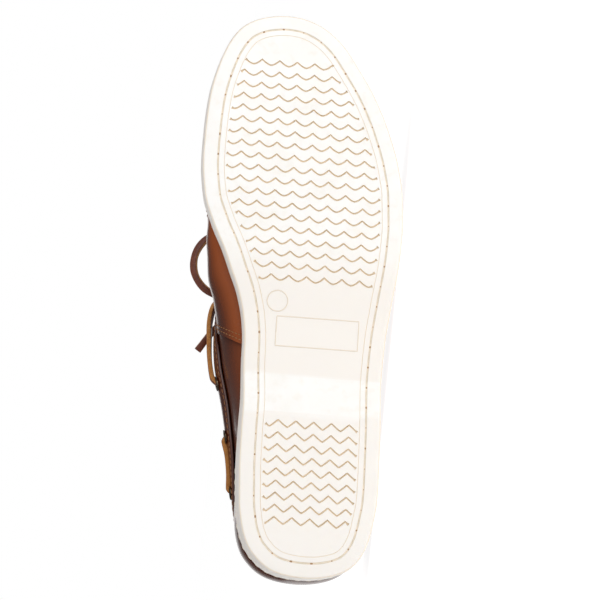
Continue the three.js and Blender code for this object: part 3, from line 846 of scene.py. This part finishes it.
def apronPath(side):  # the gathered seam round the toe
    apron = upperLook["apron"]
    stations = [at for at in upperStations() if at > apron["from"] - 8]
    return stations, [lastPoint(at, side, apron["climb"], last["wall"]) for at in stations]


def walkedAlong(path):
    walked = [0.0]
    for a, b in zip(path, path[1:]):
        walked.append(walked[-1] + (b - a).length)
    return walked


apronWalk = {}
for footSide in (1, -1):
    stationsHere, pathHere = apronPath(footSide)
    lengths = walkedAlong(pathHere)
    # the count starts at the toe, where the two sides meet
    apronWalk[footSide] = {at: lengths[-1] - walked for at, walked in zip(stationsHere, lengths)}


def reliefAt(station, side, climb, p):
    look = upperLook
    heel = look["heel"]
    low = min(max((heel["below"] - p.z + soleTop(p.y)) / heel["fade"], 0), 1)
    behind = heel["proud"] + heel["overhang"] * low
    past = (station - heel["from"]) / (heel["until"] - heel["from"])
    grow = behind - (behind + look["sunk"]) * min(max(past, 0), 1)
    saddle, apron = look["saddle"], look["apron"]
    if side > 0:
        tuck = look["tuck"]
        grow -= (tuck["deep"] * bumpAt(station - tuck["at"], tuck["half"])
                 * min(max((tuck["below"] - climb) / tuck["fade"], 0), 1))
    if saddle["rear"] < station < saddle["front"]:
        fade = min((station - saddle["rear"]) / saddle["fade"], 1)
        grow += saddle["proud"] * (1 - saddle["thinner"] * fade * fade)
    elif station >= saddle["front"]:
        starting = min(max((leantAt(station, climb) - apron["from"]) / apron["fade"], 0), 1)
        grow -= apron["before"] * (1 - starting)
        off = climb - apron["climb"]
        ridge = bumpAt(off, apron["half"])
        gather = math.cos(math.tau * apronWalk[side][station] / apron["pitch"])
        pucker = apron["pucker"] * gather * bumpAt(off, apron["puckerHalf"]) * (1 - ridge * 0.6)
        grow += starting * (apron["rise"] * ridge + pucker)
        if off > 0:
            grow -= apron["above"] * starting * min(off / 0.03, 1)
    seam = look["heelSeam"]
    if station < seam["until"]:
        off = p.z - soleTop(station) - seam["above"]
        grow -= seam["deep"] * bumpAt(off, seam["wide"]) * min((seam["until"] - station) / 10, 1)
    creases = look["creases"]
    if 185 < station < 240:
        sideways = p.x - ridgeAt(p.y).x
        up = min(max((climb - creases["from"]) / creases["fade"], 0), 1)
        for at, deep, wide, skew in zip(*(creases[key] for key in ("at", "deep", "wide", "skew"))):
            off = p.y - at - skew * sideways - creases["sway"] * math.sin(sideways / 13 + at)
            swell = creases["swell"] * bumpAt(abs(off) - wide * 1.25, wide * 0.8)
            trough = bumpAt(off, wide) - swell
            grow -= deep * trough * up * (0.75 + 0.25 * math.sin(sideways / 9))
    return grow


def darkAt(station, climb, p):  # darker along the seams, burnished; darker low against the sole, at the heel and under the collar band, painted shade
    look, saddle = upperLook["burnishAndShade"], upperLook["saddle"]
    rise = p.z - soleTop(p.y)

    def faded(place, distance):
        dark, reach = look[place]
        return dark * math.exp(-distance / reach)

    dark = faded("foot", max(rise - look["footFrom"], 0))
    if station < saddle["rear"]:
        dark = max(dark, faded("rearSeam", saddle["rear"] - station))
    if station < look["heelUntil"]:
        share, high = look["heel"]
        dark = max(dark, share * math.exp(-(rise / high) ** 2))
    if station > saddle["front"]:
        dark = max(dark, faded("frontSeam", station - saddle["front"]))
        dark = max(dark, faded("apron", abs(climb - upperLook["apron"]["climb"])))
    underBand = topLineAt(p.y) - last["band"]["deep"] - p.z
    if underBand > 0 and p.y < last["band"]["end"]:
        dark = max(dark, faded("band", underBand))
    return min(dark, 1)


def warmLitAt(station, p):  # painted light: a lighter, warmer tone low on the sides, most on the forward piece, with a patchy part that is the leather's own uneven tone
    look = upperLook["warmLit"]
    forward = upperLook["saddle"]["rear"] < station < look["until"]
    share, high = look["forward" if forward else "rear"]
    warmLit = share * math.exp(-((p.z - soleTop(p.y) - look["height"]) / high) ** 2)
    return min(warmLit + look["patchy"] * math.sin(p.y / 17 + p.z / 23) ** 2, 1)


def upperSide(bm, side):
    look = upperLook
    stations = upperStations()
    low, high = look["lowRows"], look["highRows"]
    columns = len(stations) - 1
    rowTotal = low + high + len(look["seamSteps"]) - 1
    shades = {key: bm.verts.layers.float.get(key) or bm.verts.layers.float.new(key)
              for key in ("dark", "warmLit")}
    grid = bmesh.ops.create_grid(bm, x_segments=columns, y_segments=rowTotal, size=1)
    lines = []
    for station in stations:
        until = climbUntil(lambda c: warpedPoint(station, side, c, last["wall"]), isOpen)
        seam = look["apron"]["climb"]
        squeeze = 1.0 if until > 0.999 else min(1.0, until * 0.8 / seam)
        near = [(seam + step) * squeeze for step in look["seamSteps"]]
        climbs = [near[0] * i / low for i in range(low)] + near
        climbs += [near[-1] + (until - near[-1]) * (i + 1) / high for i in range(high)]
        lines.append([(warpedPoint(station, side, c, last["wall"]), c) for c in climbs])
    for vert in grid["verts"]:
        i = round((vert.co.x + 1) / 2 * columns)
        j = round((vert.co.y + 1) / 2 * rowTotal)
        p, climb = lines[i][j]
        station = stations[i]
        grow = reliefAt(station, side, climb, p)
        vert.co = warpedPoint(station, side, climb, last["wall"] + grow)
        vert[shades["dark"]] = darkAt(station, climb, p)
        vert[shades["warmLit"]] = warmLitAt(station, p)
    if side < 0:
        faces = {face for vert in grid["verts"] for face in vert.link_faces}
        bmesh.ops.reverse_faces(bm, faces=list(faces))


def upper():
    bm = bmesh.new()
    for side in (1, -1):
        upperSide(bm, side)
    bmesh.ops.remove_doubles(bm, verts=bm.verts, dist=0.004)
    bmesh.ops.dissolve_degenerate(bm, edges=bm.edges, dist=1e-4)
    piece = addPiece("upper", bm, ["upperLeather", "liningLeather", "rawEdge"],
                     ["upper"], 50)
    addWall(piece, upperLook["thick"] / 1000)
    settled(piece)
    return piece


upperPiece = upper()
print("upper ready,", len(upperPiece.data.polygons), "faces")


# a folded strip that hides the side lace, stitched along both edges of its outer face
bandLook = {
    "endRound": 6, "stations": 170,
    # millimetres below the top line, and out from the last; the strip goes over the top and inside
    "strip": [(19, 2.2), (19.15, 3.0), (18.7, 3.45), (17.4, 3.6), (16.4, 3.45), (15.4, 3.8),
              (13, 4.55), (10, 4.85), (7, 4.75), (4.4, 4.3), (3.2, 4.0), (2.2, 4.1), (0.8, 4.0)],
    "over": [(3.4, 0.8), (2.2, 1.35), (0.9, 1.3), (-0.2, 0.7)],      # out, above the top line
    "inside": [(0.6, -0.75), (3, -0.9), (8.5, -0.75), (8.6, -0.1), (3, -0.1), (0.6, 0)],
    "rows": [(17.3, 3.65), (2.7, 4.15)],      # of stitches, below the top line and out
    "thread": {"pitch": 3.1, "length": 2.5, "width": 0.62, "rise": 0.3},
}


def bandSection(at, side):
    past = max(at - (last["band"]["end"] - bandLook["endRound"]), 0) / bandLook["endRound"]
    shorter = 1 - 0.35 * (1 - math.sqrt(max(1 - past * past, 0)))

    def down(distance, grow):
        lower = distance * shorter
        climb = climbUntil(lambda c: lastPoint(at, side, c, grow), lambda p: isOpen(p, lower))
        return lastPoint(at, side, climb, grow)

    section = [down(distance, grow) for distance, grow in bandLook["strip"]]
    for grow, rise in bandLook["over"]:
        section.append(down(0, grow) + Vector((0, 0, rise)))
    section += [down(distance, grow) for distance, grow in bandLook["inside"]]
    return section


def collarBand():
    bm = bmesh.new()
    lateral = [atTurn(math.pi * i / bandLook["stations"]) for i in range(bandLook["stations"])]
    end = last["band"]["end"]
    stations = [at for at in lateral if at < end] + [end]
    places = [(at, -1) for at in reversed(stations)] + [(at, 1) for at in stations[1:]]
    loft(bm, [bandSection(at, side) for at, side in places], capped=(True, True))
    bmesh.ops.recalc_face_normals(bm, faces=bm.faces)
    addPiece("collar_band", bm, ["upperLeather"], ["collar_band"], 60)
    thread = bmesh.new()
    for distance, grow in bandLook["rows"]:
        row = []
        outs = []
        for at, side in places[3:-3]:
            climb = climbUntil(lambda c: lastPoint(at, side, c, grow),
                               lambda p: isOpen(p, distance))
            here, out = faceAt(at, side, climb, grow)
            row.append(here)
            outs.append(out)
        stitchAlong(thread, row, outs, bandLook["thread"])
    addPiece("band_stitches", thread, ["tanThread"])


collarBand()
print("collar band ready")


tongueLook = {"from": 143, "to": 206, "halfWidth": 27, "gap": 1.4, "thick": 2.4,
              "columns": 44, "rows": 40, "corner": 9, "bevel": 0.4,
              "thread": {"pitch": 3.1, "length": 2.5, "width": 0.6, "rise": 0.3}}


def tongue():
    bm = bmesh.new()
    look = tongueLook
    grid = bmesh.ops.create_grid(bm, x_segments=look["columns"], y_segments=look["rows"], size=1)
    grow = -look["gap"]

    @functools.lru_cache(maxsize=None)
    def point(at, share):
        past = max(look["corner"] - (at - look["from"]), 0) / look["corner"]
        half = look["halfWidth"] - look["corner"] * (1 - math.sqrt(max(1 - past * past, 0)))
        side = 1 if share >= 0 else -1
        low = climbUntil(lambda c: lastPoint(at, side, c, grow),
                         lambda p: abs(p.x - ridgeAt(p.y).x) < half)
        climb = low + (1 - low) * (1 - abs(share))
        return lastPoint(at, side, climb, grow)

    for vert in grid["verts"]:
        at = look["from"] + (look["to"] - look["from"]) * (vert.co.y + 1) / 2
        share = round(vert.co.x, 6)
        if abs(share) < 1e-5:
            share = 0.0
        edge = max(0, 1 - abs(share)) * look["halfWidth"]
        vert.co = point(at, share) - Vector((0, 0, 0.5 * math.exp(-edge / 1.5)))
    for face in bm.faces:
        if face.normal.z < 0:
            face.normal_flip()
    piece = addPiece("tongue", bm, ["upperLeather", "liningLeather", "rawEdge"],
                     ["tongue"], 50)
    addWall(piece, look["thick"] / 1000)
    soft = piece.modifiers.new("soft", "BEVEL")
    soft.width = look["bevel"] / 1000
    soft.segments = 2
    soft.limit_method = "ANGLE"
    settled(piece)
    thread = bmesh.new()
    for side in (-1, 1):
        path = [point(look["from"] + 3 + i, side * 0.9) + Vector((0, 0, 0.05)) for i in range(40)]
        stitchAlong(thread, path, Vector((side * 0.5, 0, 0.87)), look["thread"])
    across = [point(look["from"] + 3, share / 10) for share in range(-9, 10)]
    stitchAlong(thread, across, Vector((0, 0, 1)), look["thread"])
    addPiece("tongue_stitches", thread, ["tanThread"])


tongue()
print("tongue ready")


# threads of the heel and of the saddle seams
heelThread = {"inset": 0.6, "drop": 0.5, "pitch": 5.6, "length": 4.0, "width": 1.3, "rise": 0.8}
fine = {"pitch": 3.0, "length": 2.4, "width": 0.62, "rise": 0.3, "lift": 0.05}


def outerPoint(station, side, climb, lift=0.0):
    p = warpedPoint(station, side, climb, last["wall"])
    grow = last["wall"] + reliefAt(station, side, climb, p)
    here = warpedPoint(station, side, climb, grow)
    alongFoot = warpedPoint(station + 0.5, side, climb, grow) - here
    upwards = warpedPoint(station, side, climb + 0.005, grow) - here
    out = alongFoot.cross(upwards).normalized() * side
    return here + out * lift, out


def seamRow(bm, stationAt, side, look, low=0.0, high=1.0, steps=60):
    path, outs = [], []
    for i in range(steps + 1):
        climb = low + (high - low) * i / steps
        station = stationAt(climb)
        clear = last["band"]["deep"] + 2 if station < last["band"]["end"] else 1.5
        if isOpen(warpedPoint(station, side, climb, last["wall"]), clear):
            break
        here, out = outerPoint(station, side, climb)
        path.append(here)
        outs.append(out)
    if len(path) > 2:
        stitchAlong(bm, path, outs, look)


def upperStitches():
    saddle = upperLook["saddle"]
    thread = bmesh.new()
    for side in (1, -1):
        for off in saddle["rows"]:
            seamRow(thread, lambda climb: saddle["rear"] + off, side, fine, 0.02)
            seamRow(thread, lambda climb: saddle["front"] - off, side, fine, 0.02, 0.995)
    addPiece("seam_stitches", thread, ["tanThread"])


def apronStitches():
    apron = upperLook["apron"]
    thread = bmesh.new()
    for side in (1, -1):
        stations, _ = apronPath(side)
        walked = apronWalk[side]
        count = int(walked[stations[0]] / apron["pitch"])
        for k in range(count + 1):
            target = (k + 0.5) * apron["pitch"]
            nearest = min(stations, key=lambda at: abs(walked[at] - target))
            if leantAt(nearest, apron["climb"]) < apron["from"] + 9:
                continue
            top, out = outerPoint(nearest, side, apron["climb"])
            lower, _ = outerPoint(nearest, side, apron["climb"] - apron["stitch"]["below"])
            higher, _ = outerPoint(nearest, side, apron["climb"] + apron["stitch"]["above"])
            arch = smoothPath([lower - out * 0.5, lower + out * 0.35, top + out * 0.45,
                               higher + out * 0.35, higher - out * 0.5], 3)
            tube(thread, arch, apron["stitch"]["radius"])
    addPiece("moccasin_stitches", thread, ["creamThread"])


def tube(bm, path, radius, round=6):
    up = Vector((0.13, 0.21, 0.97))
    sections = []
    for p, ahead in zip(path, tangentsOf(path)):
        across = ahead.cross(up).normalized()
        over = across.cross(ahead)
        sections.append([p + (across * math.cos(a) + over * math.sin(a)) * radius
                         for a in (math.tau * k / round for k in range(round))])
    loft(bm, sections, capped=(True, True))


def heelStitches():  # they lie on the rim of the sole, where it meets the leather
    until = upperLook["heelSeam"]["until"] - 2
    places = [place for place in ringPlaces(240) if place[0] < until]
    lateral = [place for place in places if place[1] < 0]
    medial = [place for place in places if place[1] > 0]
    path, outs = [], []
    for at, side in [*reversed(lateral), *reversed(medial)]:
        edge, inwards = edgeAt(at, side)
        x, y = edge + inwards * heelThread["inset"]
        path.append(Vector((x, y, soleTop(at) - heelThread["drop"])))
        outs.append(Vector((-inwards.x, -inwards.y, 0.3)).normalized())
    thread = bmesh.new()
    stitchAlong(thread, path, outs, heelThread)
    addPiece("heel_stitches", thread, ["creamThread"])


upperStitches()
apronStitches()
heelStitches()
print("stitches ready")


eyeletLook = {"bore": 2.1, "barrel": 2.6, "flange": 4.0, "lip": 0.6, "depth": 2.2, "steps": 32}
eyelets = {
    # distance from the heel, height, and how far the flange sits off the leather
    "throat_front": (179, 68.8, 0.7), "throat_rear": (165, 74.8, 0.7),
    "side_front": (150, 66, 3.0), "side_middle": (105, 56, 3.0),
    "side_rear": (77, 56, 3.0), "heel": (48, 59, 3.0),
}
sideNames = {"medial": 1, "lateral": -1}


def eyelet(name, side):
    at, height, base = eyelets[name]
    look = eyeletLook
    middle = (look["bore"] + look["flange"]) / 2
    profile = [(look["bore"], -look["depth"]), (look["barrel"], -look["depth"]),
               (look["barrel"], -0.05), (look["flange"] - 0.25, -0.05), (look["flange"], 0.12),
               (look["flange"] - 0.1, 0.34), (middle + 0.45, look["lip"] * 0.9),
               (middle, look["lip"]), (middle - 0.5, look["lip"] * 0.86),
               (look["bore"] + 0.12, 0.3), (look["bore"], -0.2)]
    bm = bmesh.new()
    spun(bm, profile, look["steps"], 1e-4, closed=True)
    bmesh.ops.recalc_face_normals(bm, faces=bm.faces)
    place, out = onUpper(at, sideNames[side], height, base)
    turned = out.to_track_quat("Z", "Y").to_matrix().to_4x4()
    bmesh.ops.transform(bm, matrix=Matrix.Translation(place) @ turned, verts=bm.verts)
    node = f"eyelet_{name}_{side}"
    addPiece(node, bm, ["darkBrass"], [node], 45)


for eyeletName in eyelets:
    for sideName in sideNames:
        eyelet(eyeletName, sideName)
print("eyelets ready")


# a flat rawhide strip, dark on its faces and golden on its cut edges
laceLook = {
    "width": 3.7, "thick": 2.5, "corner": 0.55, "over": 3.3, "dive": 0.5,
    "turned": 0.65,        # how far the loops lean, to show their inner cut edge
    # a side run, from one eyelet to the middle: how far it stands off the band
    "shares": [0, 0.06, 0.13, 0.3, 0.5, 0.7, 0.87, 0.94, 1],
    "flat": [-0.6, 0.9, 0.9, 0.4, 0.3, 0.4, 0.9, 0.9, -0.6],
    "bowed": [-0.6, 4.2, 5.2, 4.6, 2.6, 2.0, 1.7, 1.4, -0.6],
}


def laceSection():
    halfWidth, halfThick = laceLook["width"] / 2, laceLook["thick"] / 2
    corner = laceLook["corner"]
    points = []
    for cx, cy, start in ((1, 1, 0), (-1, 1, 90), (-1, -1, 180), (1, -1, 270)):
        for step in (0, 45, 90):
            a = math.radians(start + step)
            points.append((cx * (halfWidth - corner) + corner * math.cos(a),
                           cy * (halfThick - corner) + corner * math.sin(a)))
    return points


def laceFinish(band):  # the bands of the section that are cut edges
    return 1 if band in (0, 4, 5, 6, 10, 11) else 0


def strip(bm, path, faceOuts):
    sections = []
    wobble = random.uniform(0, 6)
    for k, (p, ahead) in enumerate(zip(path, tangentsOf(path))):
        across = ahead.cross(faceOuts[k]).normalized()
        over = across.cross(ahead).normalized()
        wide = 1 + 0.03 * math.sin(k * 0.9 + wobble)
        sections.append([p + across * x * wide + over * y for x, y in laceSection()])
    loft(bm, sections, capped=(True, True), bandFinish=laceFinish)


def laceRun(name, path, faceOuts):
    bm = bmesh.new()
    strip(bm, path, faceOuts)
    bmesh.ops.recalc_face_normals(bm, faces=bm.faces)
    return addPiece(name, bm, ["laceFace", "laceEdge"], [name], 50)


def sideRun(start, end, side):
    (at1, height1, base), (at2, height2, _) = eyelets[start], eyelets[end]
    points, outs = [], []
    offs = laceLook["bowed" if (start, side) == ("side_front", "medial") else "flat"]
    for share, off in zip(laceLook["shares"], offs):
        at, height = at1 + (at2 - at1) * share, height1 + (height2 - height1) * share
        place, out = onUpper(at, sideNames[side], height, base + off)
        points.append(place)
        outs.append(out)
    path = smoothPath(points, 5)
    faceOuts = []
    for k in range(len(path)):
        low, share = divmod(k, 5)
        high = min(low + 1, len(outs) - 1)
        faceOuts.append(outs[low].lerp(outs[high], share / 5).normalized())
    return path, faceOuts


for sideName in sideNames:
    laceRun(f"side_lace_front_{sideName}", *sideRun("side_front", "side_middle", sideName))
    laceRun(f"side_lace_rear_{sideName}", *sideRun("side_rear", "heel", sideName))


def heightOver(x, y, grow):
    side = 1 if x > ridgeAt(y).x else -1
    climb = climbUntil(lambda c: lastPoint(y, side, c, grow), lambda p: (p.x - x) * side < 0)
    return lastPoint(y, side, climb, grow).z


def throatBar(name, row):
    at, height, base = eyelets[row]
    ends = [onUpper(at, side, height, base + laceLook["over"])[0] for side in (-1, 1)]
    dives = [onUpper(at, side, height, base - laceLook["dive"])[0] for side in (-1, 1)]
    centre = ridgeAt(at).x
    off = last["gap"] + 1.6 + 0.5
    points = []
    for share in (-1.3, -0.95, 0, 0.95, 1.3):
        x = centre + share * last["throat"]["halfWidth"]
        extra = 0.7 + eyeletLook["lip"] if abs(share) > 1 else 0
        grow = last["wall"] if share else -tongueLook["gap"]
        points.append(Vector((x, at, heightOver(x, at, grow) + off + extra)))
    path = smoothPath([dives[0], ends[0], *points, ends[1], dives[1]], 5)
    facing = [Vector((0.02 * (p.x - centre), 0, 1)).normalized() for p in path]
    laceRun(name, path, facing)


throatBar("lace_bar_front", "throat_front")
throatBar("lace_bar_rear", "throat_rear")

# the bow and the ends, on the solids' own routes
routes = {
    "bow_loop_medial": [
        (9.6, 172.7, 88.8), (17, 177, 87.8), (26, 184, 84.8), (37, 187.6, 81.3),
        (47.4, 184.2, 77.8), (53.6, 175.5, 75.3), (54, 165.5, 74.8), (48.4, 157.2, 75.8),
        (38, 153.5, 78.8), (27, 156.5, 82.8), (17, 163.5, 86.3), (9.6, 168.5, 87.8),
    ],
    "bow_loop_lateral": [
        (-0.6, 173.2, 88.4), (-9, 178, 87.8), (-18, 184, 85.3), (-27, 187, 80.8), (-35, 185, 75.3),
        (-39, 178.5, 70.8), (-39.5, 170, 69.8), (-36, 162.5, 72.8), (-28, 159, 78.8),
        (-18, 161, 84.3), (-9, 165.5, 87.3), (-0.6, 169, 88),
    ],
    "lace_end_medial": [
        (7, 164.2, 87.1), (11, 160.4, 86.2), (17, 156, 85), (26, 149.8, 82.8), (35.5, 142.5, 79.6),
        (44.5, 134, 75.8), (52.3, 124, 71.8),
    ],
    "lace_end_lateral": [
        (2, 164.2, 87.6), (-2, 161.5, 87.8), (-8, 158.5, 87.8), (-17, 153.5, 87.2),
        (-26, 147.5, 84.8), (-33, 140.5, 80.3), (-38.5, 133, 75),
    ],
}
knotLook = {"at": (4.5, 169, 88.2), "radius": 4.1, "halfLength": 3.9}


def bowKnot():
    x, y, z = knotLook["at"]
    radius, half = knotLook["radius"], knotLook["halfLength"]
    profile = [(0.02, -half), (radius * 0.62, -half * 0.96), (radius * 0.84, -half * 0.7),
               (radius * 0.8, -half * 0.4), (radius * 0.74, 0), (radius * 0.8, half * 0.4),
               (radius * 0.84, half * 0.7), (radius * 0.62, half * 0.96), (0.02, half)]
    bm = bmesh.new()
    spun(bm, profile, 24, 0.03)
    for ahead, lift in ((0.35, 0), (-0.3, 0.15)):  # two turns of lace round the crossing
        ring = []
        for k in range(29):
            a = math.tau * k / 28
            ring.append(Vector(((radius - 0.9 + lift) * math.cos(a),
                                (radius - 0.9 + lift) * math.sin(a), ahead * 3 * math.cos(a / 2))))
        outs = [Vector((p.x, p.y, 0)).normalized() for p in ring]
        strip(bm, ring, outs)
    turned = Matrix(((0, 0, 1), (0, 1, 0), (-1, 0, 0))).to_4x4()
    bmesh.ops.transform(bm, matrix=Matrix.Translation((x, y, z)) @ turned, verts=bm.verts)
    bmesh.ops.recalc_face_normals(bm, faces=bm.faces)
    return addPiece("bow_knot", bm, ["laceFace", "laceEdge"], ["bow_knot"], 60)


knotPiece = bowKnot()
for routeName, route in routes.items():
    line = smoothPath(route, 6)
    centre = sum(line, Vector()) / len(line)
    turned = laceLook["turned"] if routeName.startswith("bow") else 0
    facing = [(Vector((0, 0, -1)) + turned * (p - centre).normalized()).normalized() for p in line]
    cordPiece = laceRun(routeName, line, facing)
    print(routeName, round(lengthOf(line), 1), "mm")


stageLook = {
    "floor": 12, "floorColor": (0.40, 0.40, 0.40), "glow": 0.87,
    # the room: bright before the sole, dim above, white again straight behind the shoe
    "front": 0.50, "back": 0.10, "between": (-0.6, 0.7),
    "backdrop": 1.0, "behind": (0.895, 0.965),
}
lamps = {
    # where it hangs from the middle of the sole (mm, shoe's own frame), its side and its power;
    # a soft one leaves no shine
    "toe": {"at": (250, 1300, -1100), "size": 700, "watts": 7},
    "front": {"at": (700, 200, -1500), "size": 900, "watts": 3.6},
    "medial": {"at": (1200, -250, 150), "size": 900, "watts": 5, "soft": True,
               "color": (1, 0.94, 0.91)},
}


def stage():
    bm = bmesh.new()
    bmesh.ops.create_grid(bm, x_segments=8, y_segments=8, size=stageLook["floor"])
    mesh = bpy.data.meshes.new("floor")
    bm.to_mesh(mesh)
    bm.free()
    floor = bpy.data.objects.new("floor", mesh)
    bpy.context.scene.collection.objects.link(floor)
    material = bpy.data.materials.new("paleFloor")
    material.use_nodes = True
    shader = material.node_tree.nodes["Principled BSDF"]
    shader.inputs["Base Color"].default_value = (*stageLook["floorColor"], 1)
    shader.inputs["Roughness"].default_value = 1
    shader.inputs["Specular IOR Level"].default_value = 0
    shader.inputs["Emission Color"].default_value = (1, 1, 1, 1)
    shader.inputs["Emission Strength"].default_value = stageLook["glow"]
    mesh.materials.append(material)
    world = bpy.data.worlds.new("studio")
    world.use_nodes = True
    tree = world.node_tree
    background = tree.nodes["Background"]
    background.inputs["Color"].default_value = (1, 1, 1, 1)
    direction = tree.nodes.new("ShaderNodeTexCoord")
    parts = tree.nodes.new("ShaderNodeSeparateXYZ")
    tree.links.new(direction.outputs["Generated"], parts.inputs["Vector"])

    def fall(between, start, end):
        node = tree.nodes.new("ShaderNodeMapRange")
        node.interpolation_type = "SMOOTHSTEP"
        for key, value in zip(("From Min", "From Max", "To Min", "To Max"), (*between, start, end)):
            node.inputs[key].default_value = value
        tree.links.new(parts.outputs["Y"], node.inputs["Value"])
        return node.outputs["Result"]

    brighter = tree.nodes.new("ShaderNodeMath")
    brighter.operation = "MAXIMUM"
    tree.links.new(fall(stageLook["between"], stageLook["front"], stageLook["back"]),
                   brighter.inputs[0])
    tree.links.new(fall(stageLook["behind"], 0, stageLook["backdrop"]), brighter.inputs[1])
    tree.links.new(brighter.outputs["Value"], background.inputs["Strength"])
    bpy.context.scene.world = world


def addLamps():
    middle = Vector(view["middle"])
    for name, lamp in lamps.items():
        data = bpy.data.lights.new(name, "AREA")
        data.shape = "SQUARE"
        data.size = lamp["size"] / 1000
        data.energy = lamp["watts"]
        data.color = lamp.get("color", (1, 1, 1))
        place = bpy.data.objects.new(name, data)
        bpy.context.scene.collection.objects.link(place)
        place.visible_glossy = not lamp.get("soft")
        at = shoeToWorld @ (middle + Vector(lamp["at"]))
        towards = (at - shoeToWorld @ middle).normalized()
        turned = towards.to_track_quat("Z", "Y").to_matrix().to_4x4()
        place.matrix_world = Matrix.Translation(at) @ turned


stage()
addLamps()
scene = bpy.context.scene
scene.view_settings.view_transform = "Standard"
print("stage ready")
